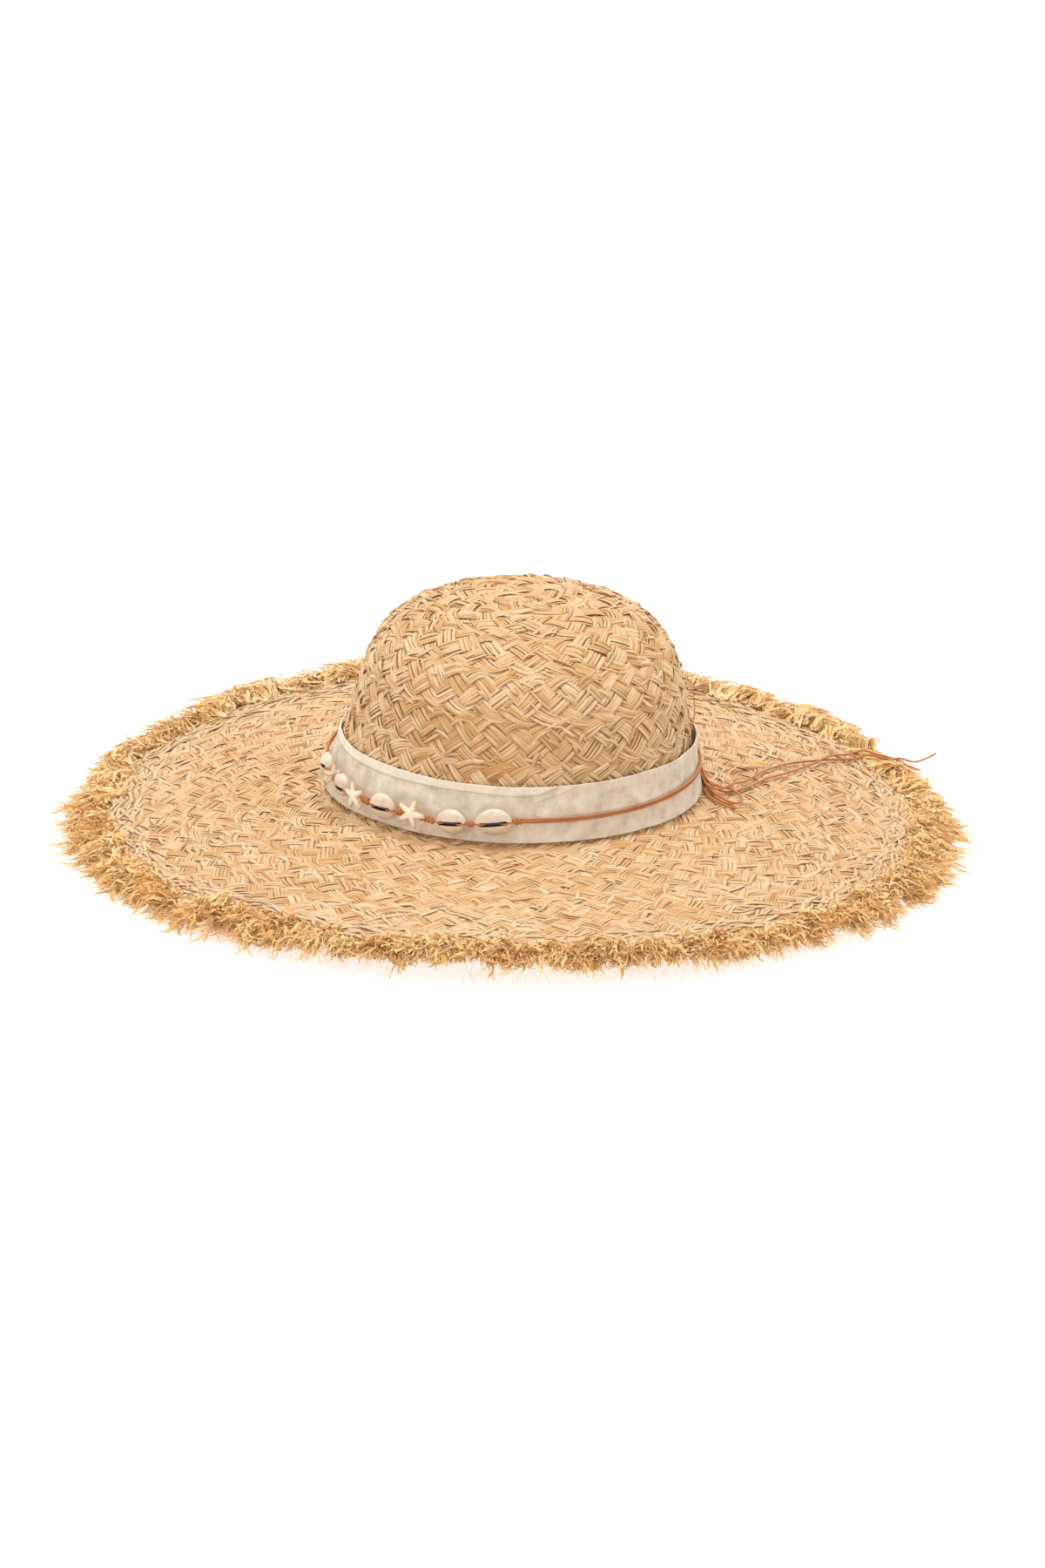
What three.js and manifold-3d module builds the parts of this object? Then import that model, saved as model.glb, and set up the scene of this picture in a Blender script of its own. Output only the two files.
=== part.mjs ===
// A wide-brimmed straw sun hat: a plaited raffia crown and brim with a frayed edge, a sewn
// sweatband, a linen band, and a waxed cord that carries cowrie and starfish beads between
// knots and ties in a bow. Millimetres, +Z up; the brim's low sides stand on z = 0, the
// crown's axis is Z, and the front faces -Y.

import * as THREE from 'three';
import Module from 'manifold-3d';
import { mergeVertices } from 'three/addons/utils/BufferGeometryUtils.js';

const wasm = await Module();
wasm.setup();

// ---- driving dimensions ----

const FOOT_Z = 33; // height of the crown's foot above the ground
const FOOT_R = 96; // crown's outer radius at its foot
const BRAID_T = 3; // thickness of the sewn braid
const GAP = 0.3; // space kept between neighbouring solids
const BRIM_INNER_R = 93;
const BRIM_EDGE_R = 211; // where the plait ends and the fringe begins
const FRINGE_R = 238; // mean reach of the fringe
const BRIM_DROP = 24.5; // mean fall from the crown's foot to the fringe's tips
const SADDLE = 6; // extra fall at the sides, and missing fall at front and back
const FRINGE_DROOP = 3.5; // how far the fringe's tips hang below the brim's slope
const FRINGE_T = 2.4;
const RIDGE_R = 0.9; // half thickness of the fringe's sewn heading

const SWEATBAND_T = 1; // the head opening inside it measures 575 mm round at its foot
const SWEATBAND_H = 28;
const THREAD_R = 0.35;

const BAND_LOW = 0.5; // linen band, heights above the crown's foot
const BAND_HIGH = 29.5;
const BAND_T = 1.2;
const BAND_FLARE = 1; // how far its top edge stands off the crown

const CORD_R = 0.6;
const CORD_SIDES = 8;
const PAIR_Z = 12.7; // height of the doubled cord above the crown's foot
const PAIR_SPLIT = 0.78; // each strand's distance above or below PAIR_Z
const STANDOFF = 4.4; // from the linen to the beads' axis
const BEAD_HOLE_R = 0.95;
const KNOT_R = 1.8;
const KNOT_HOLE_R = 0.98;
const END_GAP = 0.35;

const BOW_ANGLE = 21; // the bow hangs at the wearer's left, a little behind the side
const BOW_SIZE = [2.7, 2.3, 2.5]; // half sizes: along the cord, outwards, upwards

// Crown's outer line as [radius, height above the foot], from the foot to the top.
const CROWN_LINE = [
  [96, 0], [93.4, 14], [91.2, 28], [88.4, 45], [84, 60], [78.5, 72],
  [70.5, 83], [59, 91.3], [43, 96.8], [22, 99.3], [0, 99.8],
];

// Beads along the cord: angle round the crown in degrees (-90 is the front), height above
// the foot, half length along the cord, and what is peculiar to each shell or starfish.
const BEADS = [
  { name: 'cowrie_1', angle: -95.5, z: 12.2, half: 9.75, wide: 13.3, rise: 1.2, roll: 0 },
  { name: 'cowrie_2', angle: -108.3, z: 10.4, half: 8.25, wide: 12.2, rise: 1.3, roll: 0 },
  { name: 'starfish_1', angle: -120.3, z: 10.8, half: 2.5, arm: 8.2, turn: -7, lift: 1.6 },
  { name: 'cowrie_3', angle: -131.8, z: 10.7, half: 8.6, wide: 13, rise: 0.9, roll: 4 },
  { name: 'starfish_2', angle: -142.5, z: 11.2, half: 2.5, arm: 7.8, turn: 22, lift: 0.8 },
  { name: 'cowrie_4', angle: -151.3, z: 11.8, half: 7.1, wide: 11.5, rise: 1.6, roll: 10 },
  { name: 'starfish_3', angle: -158.4, z: 14.0, half: 1.7, arm: 6.8, turn: 10, lift: 0 },
  { name: 'cowrie_5', angle: -165.2, z: 15.3, half: 7, wide: 11, rise: 1, roll: 0 },
];
const FIRST_END = { angle: -87, z: 14 }; // where the beaded cord meets the doubled cord
const LAST_END = { angle: -171.6, z: 15.2 };

// Free cords from the bow over the brim: [x, y, height above the brim's face].
const TAIL_A = [
  [91.6, 33.4, 10.3], [95.2, 23, 4.8], [97.2, 13, 4], [98.6, 4, 3.8], [100.4, -4, 4.2],
  [104.4, -7.6, 4], [109.4, -4.4, 4.2], [113.6, 2.8, 4.3], [120.2, 16.8, 1.6], [131.4, 42, 1],
  [142.6, 60, 1], [154, 72.4, 1.2], [165, 83.6, 1.1], [176.4, 92.8, 1.4], [185.2, 101.5, 3.2],
  [193, 109.8, 1.4], [202.2, 119.2, 2.9], [209.4, 122.6, 1.8], [216, 126.4, 2.8], [221, 131, 3.9],
];
const TAIL_B = [
  [93.4, 33, 10.7], [96.3, 23, 5.8], [98.4, 13, 4.9], [99.9, 4, 4.6], [103.6, 0.2, 2.4],
  [108, -1.6, 1.1], [113.6, 0, 1], [120.4, 8, 1], [131.4, 27.4, 1], [142.6, 44.6, 1],
  [153.8, 64.6, 1.2], [165, 85, 2.8], [174, 98.4, 1.8], [181.8, 107.2, 3.2], [189, 113.6, 1.4],
  [196.4, 119.6, 1], [202, 120.6, 1.1], [206.4, 117.4, 1], [212.6, 112.8, 1],
];
const LOOP_A = [
  [93.2, 32.5, 9], [96.6, 23, 3.9], [98.7, 13, 3.2], [100.3, 5, 2.9], [107.4, 0.4, 2.6],
  [112.6, -0.8, 2.5], [116.8, -4.4, 1.2], [118.3, -9.8, 1], [117, -15.4, 1], [113.2, -16.8, 1],
  [108.4, -13.2, 1.4], [103.6, -9.6, 2.7], [100.7, -2.4, 2.3], [98.7, 4, 2.3], [97.5, 13, 2.4],
  [95.5, 23, 3], [91.9, 32.8, 8.4],
];
const LOOP_B = [
  [93.5, 32, 7.2], [96.9, 23, 2.1], [98.9, 13, 1.5], [99.9, 4, 1.4], [102.2, -3, 1],
  [104.6, -12, 1], [109, -17.4, 1], [113.8, -21.2, 1], [114.4, -23.6, 1], [112.2, -23.6, 1],
  [107.2, -19.6, 1], [102, -13.2, 1], [98.9, -4, 1], [98.7, 4, 0.8], [97.8, 13, 0.8],
  [95.9, 23, 1.2], [92.2, 32.2, 6.5],
];

const FREE_STEP = 4; // spacing of a free cord's cross-sections
const HELD_STEP = 6; // and of a cord that lies tight round the crown

const RAFFIA = { color: 0xdcb884, roughness: 0.85 };
const FRINGE = { color: 0xd2a262, roughness: 0.9 };
const LINEN = { color: 0xd8c8b0, roughness: 0.95 };
const COTTON = { color: 0xe8dcc6, roughness: 0.95 };
const THREAD = { color: 0xe6d2ac, roughness: 0.8 };
const WAXED_CORD = { color: 0xb0703c, roughness: 0.6 };
const SHELL = { color: 0xe6d8c2, roughness: 0.35 };
const STARFISH = { color: 0xe9dcc4, roughness: 0.8 };

const hat = new THREE.Group();

// ---- the hat's surface ----

const radians = THREE.MathUtils.degToRad;
const crownCurve = new THREE.SplineCurve(CROWN_LINE.map(([r, z]) => new THREE.Vector2(r, z)));
const crownPoints = crownCurve.getSpacedPoints(200);

// Crown's outer radius at a height above its foot.
function crownRadius(z) {
  const i = crownPoints.findIndex((p) => p.y >= z);
  if (i <= 0) return FOOT_R;
  const [a, b] = [crownPoints[i - 1], crownPoints[i]];
  return THREE.MathUtils.lerp(a.x, b.x, (z - a.y) / (b.y - a.y));
}

// Linen band's outer radius at a height above the crown's foot.
function bandRadius(z) {
  const up = THREE.MathUtils.smoothstep(z, BAND_HIGH / 2, BAND_HIGH);
  return crownRadius(z) + 2 * GAP + BAND_T + BAND_FLARE * up;
}

// Share of the brim's fall that is reached at a radius.
function slope(r) {
  const t = Math.max(0, (r - FOOT_R) / (FRINGE_R - FOOT_R));
  return 0.75 * t + 0.25 * t * t;
}

// Height of the brim's upper face.
function brimTop(x, y) {
  const r = Math.min(FRINGE_R, Math.hypot(x, y));
  const sag = FRINGE_DROOP * Math.max(0, (r - BRIM_EDGE_R) / (FRINGE_R - BRIM_EDGE_R)) ** 2;
  const fall = BRIM_DROP + SADDLE * Math.cos(2 * Math.atan2(y, x));
  return FOOT_Z - GAP - fall * slope(r) - sag;
}

// ---- builders ----

function add(name, geometry, look, place) {
  const mesh = new THREE.Mesh(geometry, new THREE.MeshStandardMaterial({ ...look, metalness: 0 }));
  mesh.name = name;
  if (place) mesh.applyMatrix4(place);
  hat.add(mesh);
  return mesh;
}

// Turns a profile of [radius, height] pairs about Z, with its faces outwards.
function turned(profile, segments) {
  const points = profile.map(([r, z]) => new THREE.Vector2(r, z));
  const area = THREE.ShapeUtils.area(points);
  if (area < 0) points.reverse();
  return new THREE.LatheGeometry(points, segments).rotateX(Math.PI / 2);
}

// A ring that follows the brim: the profile gives [radius, height above the brim's face].
function onBrim(profile, segments, raggedness = 0) {
  const geometry = turned([...profile, profile[0]], segments);
  const at = geometry.attributes.position;
  for (let i = 0; i < at.count; i += 1) {
    let [x, y] = [at.getX(i), at.getY(i)];
    const angle = Math.atan2(y, x);
    const out = Math.max(0, (Math.hypot(x, y) - BRIM_EDGE_R) / (FRINGE_R - BRIM_EDGE_R));
    const longer = 1 + (raggedness * out * Math.cos(angle * segments / 2)) / FRINGE_R;
    x *= longer;
    y *= longer;
    const floor = at.getZ(i) > 0 ? FRINGE_T / 2 : 0;
    at.setXYZ(i, x, y, Math.max(floor, brimTop(x, y) + at.getZ(i)));
  }
  return geometry;
}

// A cord along a curve, as a closed tube of flat-sided section.
function cord(name, route, spacing) {
  const ring = Array.from({ length: CORD_SIDES }, (_, i) => {
    const a = (2 * Math.PI * (i + 0.5)) / CORD_SIDES;
    return new THREE.Vector2(CORD_R * Math.cos(a), CORD_R * Math.sin(a));
  });
  const steps = Math.ceil(route.getLength() / spacing);
  const tube = new THREE.ExtrudeGeometry(new THREE.Shape(ring), { steps, extrudePath: route });
  add(name, tube, WAXED_CORD);
}

function freeCord(name, route) {
  const points = route.map(([x, y, up]) => new THREE.Vector3(x, y, brimTop(x, y) + up));
  cord(name, new THREE.CatmullRomCurve3(points), FREE_STEP);
}

function toSolid(geometry) {
  const bare = geometry.clone();
  for (const extra of ['normal', 'uv']) bare.deleteAttribute(extra);
  const merged = mergeVertices(bare, 1e-4);
  return new wasm.Manifold(new wasm.Mesh({
    numProp: 3,
    vertProperties: new Float32Array(merged.attributes.position.array),
    triVerts: new Uint32Array(merged.index.array),
  }));
}

function toGeometry(solid) {
  const mesh = solid.getMesh();
  const geometry = new THREE.BufferGeometry();
  geometry.setAttribute('position', new THREE.BufferAttribute(mesh.vertProperties, 3));
  geometry.setIndex(new THREE.BufferAttribute(mesh.triVerts, 1));
  return geometry;
}

// A cylinder along X, for drilling.
function drill(radius, length) {
  return toSolid(new THREE.CylinderGeometry(radius, radius, length, 10).rotateZ(Math.PI / 2));
}

// ---- the straw body ----

function crown() {
  const outer = crownCurve.getSpacedPoints(10);
  const inner = crownCurve.getSpacedPoints(9).map((p, i) => {
    const t = crownCurve.getTangentAt(i / 9);
    return new THREE.Vector2(p.x - BRAID_T * t.y, p.y + BRAID_T * t.x);
  });
  inner[0] = new THREE.Vector2(BRIM_INNER_R, 0);
  inner[inner.length - 1] = new THREE.Vector2(0, CROWN_LINE.at(-1)[1] - BRAID_T);
  outer.at(-1).x = 0;
  const line = [...outer.reverse(), ...inner];
  return turned(line.map((p) => [p.x, p.y + FOOT_Z]), 40);
}

function brim() {
  const rings = 5;
  const radii = Array.from({ length: rings + 1 }, (_, i) => (
    THREE.MathUtils.lerp(BRIM_INNER_R, BRIM_EDGE_R - GAP / 2, i / rings)));
  const top = radii.map((r) => [r, 0]);
  const bottom = radii.map((r) => [r, -BRAID_T]).reverse();
  return onBrim([...top, ...bottom], 40);
}

function fringe() {
  const inner = BRIM_EDGE_R + 2 * GAP;
  const [middle, outer] = [225, 230];
  const profile = [[inner, 0.01], [middle, 0.01], [FRINGE_R, -0.8], [FRINGE_R - 1, -FRINGE_T],
    [outer, -FRINGE_T], [middle, -FRINGE_T], [inner, -FRINGE_T]];
  return onBrim(profile, 64, 2.5);
}

function fringeHeading() {
  const profile = Array.from({ length: 5 }, (_, i) => {
    const a = (2 * Math.PI * (i + 0.75)) / 5;
    return [BRIM_EDGE_R + RIDGE_R * Math.cos(a), GAP + RIDGE_R * (1 + Math.sin(a))];
  });
  return onBrim(profile, 40);
}

// Sweatband's outer radius at a height above the crown's foot: it lines the crown's wall.
function sweatbandRadius(z) {
  return Math.min(BRIM_INNER_R, crownRadius(z) - BRAID_T) - 1.5 * GAP;
}

function sweatband() {
  const heights = [-1, SWEATBAND_H / 2, SWEATBAND_H];
  const outer = heights.map((z) => [sweatbandRadius(z), z + FOOT_Z]);
  const inner = heights.map((z) => [sweatbandRadius(z) - SWEATBAND_T, z + FOOT_Z]).reverse();
  return turned([...outer, ...inner, outer[0]], 36);
}

// The seam's thread, seen just inside the head opening, under the sweatband's foot.
function sweatbandThread() {
  const z = FOOT_Z - 1 - GAP - THREAD_R;
  const r = sweatbandRadius(0) - SWEATBAND_T / 2;
  const ring = [[r + THREAD_R, z], [r, z + THREAD_R], [r - THREAD_R, z], [r, z - THREAD_R]];
  return turned([...ring, ring[0]], 36);
}

function linenBand() {
  const heights = [BAND_LOW, 10, 20, BAND_HIGH];
  const outer = heights.map((z) => [bandRadius(z), z + FOOT_Z]);
  const inner = heights.map((z) => [bandRadius(z) - BAND_T, z + FOOT_Z]).reverse();
  return turned([...outer, ...inner, outer[0]], 40);
}

// ---- the beaded cord ----

function onString(angle, z) {
  const r = bandRadius(z) + STANDOFF;
  const a = radians(angle);
  return new THREE.Vector3(r * Math.cos(a), r * Math.sin(a), FOOT_Z + z);
}

// Frame of a piece on the cord, which runs clockwise round the crown: X back along the cord,
// Y inwards to the crown, Z up.
function frameAt(centre, along) {
  const x = along.clone().negate().normalize();
  const y = new THREE.Vector3(-centre.x, -centre.y, 0);
  y.addScaledVector(x, -y.dot(x)).normalize();
  const z = new THREE.Vector3().crossVectors(x, y);
  return new THREE.Matrix4().makeBasis(x, y, z).setPosition(centre);
}

// A cowrie with its back sliced off and the toothed slit outwards, threaded end to end.
function cowrie({ half, wide, rise, roll }) {
  const depth = 3.3; // from the cord's axis to the front of the shell
  const back = 2.2; // from the axis to the sliced back
  let solid = toSolid(new THREE.SphereGeometry(1, 14, 8)
    .scale(half - 0.1, depth, wide / 2)
    .translate(0, 0, rise));
  const slab = new THREE.BoxGeometry(4 * half, 10, 4 * wide).translate(0, back + 5, 0);
  const slit = new THREE.BoxGeometry(1.3 * half, 8, 1.6).translate(0, -4, 0);
  solid = solid.subtract(toSolid(slab));
  solid = solid.subtract(toSolid(slit));
  solid = solid.subtract(drill(BEAD_HOLE_R, 4 * half));
  return toGeometry(solid).rotateX(radians(roll));
}

// A five-armed starfish whose face lies in front of the cord, with a drilled boss behind.
function starfish({ half, arm, turn, lift }) {
  const outline = new THREE.Shape();
  const valley = 0.34 * arm;
  for (let i = 0; i < 5; i += 1) {
    const tip = radians(turn + 72 * i);
    for (const [r, a] of [[0.96 * arm, -0.13], [arm, 0], [0.96 * arm, 0.13], [valley, radians(36)]]) {
      const p = [r * Math.cos(tip + a), r * Math.sin(tip + a)];
      if (i === 0 && a === -0.13) outline.moveTo(...p);
      else outline.lineTo(...p);
    }
  }
  const face = new THREE.ExtrudeGeometry(outline, { depth: 2.4, bevelEnabled: false })
    .translate(0, lift, 2.1)
    .rotateX(Math.PI / 2);
  const boss = new THREE.BoxGeometry(2 * half, 4.6, 3.6).translate(0, -0.8, 0);
  let solid = toSolid(face).add(toSolid(boss));
  solid = solid.subtract(drill(BEAD_HOLE_R, 4 * half));
  return toGeometry(solid);
}

// A starfish that sits edge-on, threaded through its middle.
function edgewiseStarfish({ half, arm, turn }) {
  const outline = new THREE.Shape();
  for (let i = 0; i < 10; i += 1) {
    const r = i % 2 ? 0.42 * arm : arm;
    const a = radians(turn + 36 * i);
    const p = [Math.min(2.9, r * Math.cos(a)), r * Math.sin(a)];
    if (i === 0) outline.moveTo(...p);
    else outline.lineTo(...p);
  }
  const face = new THREE.ExtrudeGeometry(outline, { depth: 2 * half - 0.4, bevelEnabled: false })
    .translate(0, 0, 0.2 - half)
    .rotateX(Math.PI / 2)
    .rotateZ(Math.PI / 2);
  return toGeometry(toSolid(face).subtract(drill(BEAD_HOLE_R, 4 * half)));
}

// A macrame knot: a wound barrel round the cord.
function knot(length) {
  const h = length / 2;
  const ring = [[KNOT_HOLE_R, -h], [KNOT_R - 0.35, -h], [KNOT_R, -h / 2], [KNOT_R, h / 2],
    [KNOT_R - 0.35, h], [KNOT_HOLE_R, h]];
  return turned([...ring, ring[0]], 10).rotateY(Math.PI / 2);
}

function beadString() {
  const middles = [FIRST_END, ...BEADS, LAST_END].map(({ angle, z }) => onString(angle, z));
  const corners = [];
  BEADS.forEach((bead, i) => {
    const middle = middles[i + 1];
    const along = middles[i + 2].clone().sub(middles[i]).normalize();
    const place = frameAt(middle, along);
    let shape = cowrie;
    if (bead.arm) shape = bead.half < 2 ? edgewiseStarfish : starfish;
    add(bead.name, shape(bead), bead.arm ? STARFISH : SHELL, place);
    corners.push(middle.clone().addScaledVector(along, -bead.half));
    corners.push(middle.clone().addScaledVector(along, bead.half));
  });
  const route = [middles[0], ...corners, middles.at(-1)];
  for (let i = 0; i < route.length; i += 2) {
    const [from, to] = [route[i], route[i + 1]];
    const length = from.distanceTo(to) - 2 * END_GAP;
    const middle = from.clone().add(to).multiplyScalar(0.5);
    add(`knot_${i / 2 + 1}`, knot(length), WAXED_CORD, frameAt(middle, to.clone().sub(from)));
  }
  const path = new THREE.CurvePath();
  route[0] = route[0].clone().lerp(route[1], 0.2);
  route[route.length - 1] = route.at(-1).clone().lerp(route.at(-2), 0.2);
  for (let i = 1; i < route.length; i += 1) path.add(new THREE.LineCurve3(route[i - 1], route[i]));
  cord('bead_cord', path, HELD_STEP / 2);
}

// One strand of the doubled cord between two places on its way round the linen band.
function strand(name, from, to, side) {
  const turn = to.angle - from.angle;
  const count = Math.max(6, Math.round(Math.abs(turn) / 8));
  const points = Array.from({ length: count + 1 }, (_, i) => {
    const t = i / count;
    const angle = from.angle + turn * t;
    const near = (end, away) => end.reach * THREE.MathUtils.smoothstep(16 - away, 0, 15);
    const leave = near(from, Math.abs(turn) * t);
    const arrive = near(to, Math.abs(turn) * (1 - t));
    const z = PAIR_Z + (from.z - PAIR_Z) * (leave / from.reach) + (to.z - PAIR_Z) * (arrive / to.reach);
    const r = bandRadius(PAIR_Z) + 2 * GAP + CORD_R + leave + arrive;
    const a = radians(angle);
    return new THREE.Vector3(r * Math.cos(a), r * Math.sin(a), FOOT_Z + z + side * PAIR_SPLIT);
  });
  cord(name, new THREE.CatmullRomCurve3(points), HELD_STEP);
}

function doubledCord() {
  const lift = STANDOFF - GAP - CORD_R;
  const bowGap = 1.85; // degrees from the bow's middle to a strand's end
  const front = { angle: FIRST_END.angle + 0.2, z: FIRST_END.z, reach: lift };
  const bowIn = { angle: BOW_ANGLE - bowGap, z: 13, reach: 2.6 };
  const bowOut = { angle: BOW_ANGLE + bowGap, z: 13, reach: 2.6 };
  const back = { angle: LAST_END.angle + 360 - 0.2, z: LAST_END.z, reach: lift };
  for (const [place, side] of [['upper', 1], ['lower', -1]]) {
    strand(`front_cord_${place}`, front, bowIn, side);
    strand(`back_cord_${place}`, bowOut, back, side);
  }
}

function bow() {
  const r = bandRadius(13) + GAP + CORD_R + 2.6;
  const a = radians(BOW_ANGLE);
  const middle = new THREE.Vector3(r * Math.cos(a), r * Math.sin(a), FOOT_Z + 13);
  const along = new THREE.Vector3(-Math.sin(a), Math.cos(a), 0);
  const lump = new THREE.SphereGeometry(1, 12, 8).scale(...BOW_SIZE);
  add('bow_knot', lump, WAXED_CORD, frameAt(middle, along));
  freeCord('bow_tail_a', TAIL_A);
  freeCord('bow_tail_b', TAIL_B);
  freeCord('bow_loop_a', LOOP_A);
  freeCord('bow_loop_b', LOOP_B);
}

// ---- assembly ----

add('crown_braid', crown(), RAFFIA);
add('brim_braid', brim(), RAFFIA);
add('brim_fringe', fringe(), FRINGE);
add('fringe_heading', fringeHeading(), FRINGE);
add('sweatband', sweatband(), COTTON);
add('sweatband_thread', sweatbandThread(), THREAD);
add('linen_band', linenBand(), LINEN);
beadString();
doubledCord();
bow();

export default hat;
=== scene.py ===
"""A wide-brimmed straw sun hat: one raffia braid that spirals from the crown's top to the
brim's frayed edge, a folded linen band, a sewn sweatband, and a waxed cord that carries
cowrie and starfish beads and ties in a bow. Built in millimetres, shown in metres."""
import math

import bpy
import numpy as np
from mathutils import Matrix, Vector


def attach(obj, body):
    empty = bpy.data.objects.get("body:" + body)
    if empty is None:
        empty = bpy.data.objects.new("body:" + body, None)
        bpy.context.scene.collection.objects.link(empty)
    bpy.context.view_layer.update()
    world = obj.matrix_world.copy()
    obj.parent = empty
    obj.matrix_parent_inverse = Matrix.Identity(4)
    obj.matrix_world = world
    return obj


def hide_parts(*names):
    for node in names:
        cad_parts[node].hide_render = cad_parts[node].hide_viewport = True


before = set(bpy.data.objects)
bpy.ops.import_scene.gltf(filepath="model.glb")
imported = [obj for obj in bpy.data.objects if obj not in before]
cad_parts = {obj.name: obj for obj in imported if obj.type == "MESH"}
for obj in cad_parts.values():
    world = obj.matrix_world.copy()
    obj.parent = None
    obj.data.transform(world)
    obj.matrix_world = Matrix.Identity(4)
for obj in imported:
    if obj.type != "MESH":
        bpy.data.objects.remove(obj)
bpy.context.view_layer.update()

# ---- the CAD's dimensions, in millimetres ----

MM = 0.001
FOOT_Z = 33  # height of the crown's foot above the ground
FOOT_R = 96
BRAID_T = 3
GAP = 0.3
BRIM_INNER_R = 93
BRIM_EDGE_R = 211  # where the plait ends and the fringe begins
FRINGE_R = 238
BRIM_DROP = 24.5
SADDLE = 6
FRINGE_DROOP = 3.5
SWEATBAND_T = 1
SWEATBAND_H = 28
BAND_LOW = 0.5
BAND_HIGH = 29.5
BAND_T = 1.2
BAND_FLARE = 1
CORD_R = 0.6
PAIR_Z = 12.7
PAIR_SPLIT = 0.78
STANDOFF = 4.4
END_GAP = 0.35
BOW_ANGLE = 21
BOW_Z = 13

CROWN_LINE = np.array([
    [96, 0], [93.4, 14], [91.2, 28], [88.4, 45], [84, 60], [78.5, 72],
    [70.5, 83], [59, 91.3], [43, 96.8], [22, 99.3], [0, 99.8],
])

BEADS = [
    dict(name="cowrie_1", angle=-95.5, z=12.2, half=9.75, wide=13.3, rise=1.2, roll=0),
    dict(name="cowrie_2", angle=-108.3, z=10.4, half=8.25, wide=12.2, rise=1.3, roll=0),
    dict(name="starfish_1", angle=-120.3, z=10.8, half=2.5, arm=8.2, turn=-7, lift=1.6),
    dict(name="cowrie_3", angle=-131.8, z=10.7, half=8.6, wide=13, rise=0.9, roll=4),
    dict(name="starfish_2", angle=-142.5, z=11.2, half=2.5, arm=7.8, turn=22, lift=0.8),
    dict(name="cowrie_4", angle=-151.3, z=11.8, half=7.1, wide=11.5, rise=1.6, roll=10),
    dict(name="starfish_3", angle=-158.4, z=14.0, half=1.7, arm=6.8, turn=10, lift=0),
    dict(name="cowrie_5", angle=-165.2, z=15.3, half=7, wide=11, rise=1, roll=0),
]
FIRST_END = dict(angle=-87, z=14)
LAST_END = dict(angle=-171.6, z=15.2)

# Free cords from the bow over the brim: [x, y, height above the brim's face].
TAIL_A = [
    [91.6, 33.4, 10.3], [95.2, 23, 4.8], [97.2, 13, 4], [98.6, 4, 3.8], [100.4, -4, 4.2],
    [104.4, -7.6, 4], [109.4, -4.4, 4.2], [113.6, 2.8, 4.3], [120.2, 16.8, 1.6],
    [131.4, 42, 1], [142.6, 60, 1], [154, 72.4, 1.2], [165, 83.6, 1.1], [176.4, 92.8, 1.4],
    [185.2, 101.5, 3.2], [193, 109.8, 1.4], [202.2, 119.2, 2.9], [209.4, 122.6, 1.8],
    [216, 126.4, 2.8], [221, 131, 3.9],
]
TAIL_B = [
    [93.4, 33, 10.7], [96.3, 23, 5.8], [98.4, 13, 4.9], [99.9, 4, 4.6], [103.6, 0.2, 2.4],
    [108, -1.6, 1.1], [113.6, 0, 1], [120.4, 8, 1], [131.4, 27.4, 1], [142.6, 44.6, 1],
    [153.8, 64.6, 1.2], [165, 85, 2.8], [174, 98.4, 1.8], [181.8, 107.2, 3.2],
    [189, 113.6, 1.4], [196.4, 119.6, 1], [202, 120.6, 1.1], [206.4, 117.4, 1],
    [212.6, 112.8, 1],
]
LOOP_A = [
    [93.2, 32.5, 9], [96.6, 23, 3.9], [98.7, 13, 3.2], [100.3, 5, 2.9], [107.4, 0.4, 2.6],
    [112.6, -0.8, 2.5], [116.8, -4.4, 1.2], [118.3, -9.8, 1], [117, -15.4, 1],
    [113.2, -16.8, 1], [108.4, -13.2, 1.4], [103.6, -9.6, 2.7], [100.7, -2.4, 2.3],
    [98.7, 4, 2.3], [97.5, 13, 2.4], [95.5, 23, 3], [91.9, 32.8, 8.4],
]
LOOP_B = [
    [93.5, 32, 7.2], [96.9, 23, 2.1], [98.9, 13, 1.5], [99.9, 4, 1.4], [102.2, -3, 1],
    [104.6, -12, 1], [109, -17.4, 1], [113.8, -21.2, 1], [114.4, -23.6, 1],
    [112.2, -23.6, 1], [107.2, -19.6, 1], [102, -13.2, 1], [98.9, -4, 1], [98.7, 4, 0.8],
    [97.8, 13, 0.8], [95.9, 23, 1.2], [92.2, 32.2, 6.5],
]

# ---- the straw's own dimensions, in millimetres ----

ROW = 24.4  # width of one turn of the braid, from seam to seam
TURN_START = math.radians(-84)  # where the spiral's seams lie round the crown
STRANDS = 5  # ends in the flat plait
FIBRES = 5  # strips of palm side by side in an end
STRIP_LENGTH = 190  # usual length of one strip before the next takes its place
TRAVERSE = 37  # way along the braid in which an end crosses it
SPACING = 1.5  # way along the braid between cross-sections
END_HALF = 4.9  # half width of an end in the middle of the braid
FIBRE_HALF = 1.16
FIBRE_THICK = 0.32  # half thickness of a strip
CROWNING = 0.34  # how far an end's middle strips stand above its outer ones
SEAM_IN = 1.0  # how far short of the braid's full width its ends turn back
WEAVE = 0.66  # how far an end goes up and down between its neighbours
BRIM_FLATTER = 0.35  # how much flatter the ends lie on the brim than on the crown
CORE_CELL = 1.3  # size of the core's cells, down from the crown's top

# ---- how the worn hat differs from a plain round one, in millimetres ----

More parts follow.
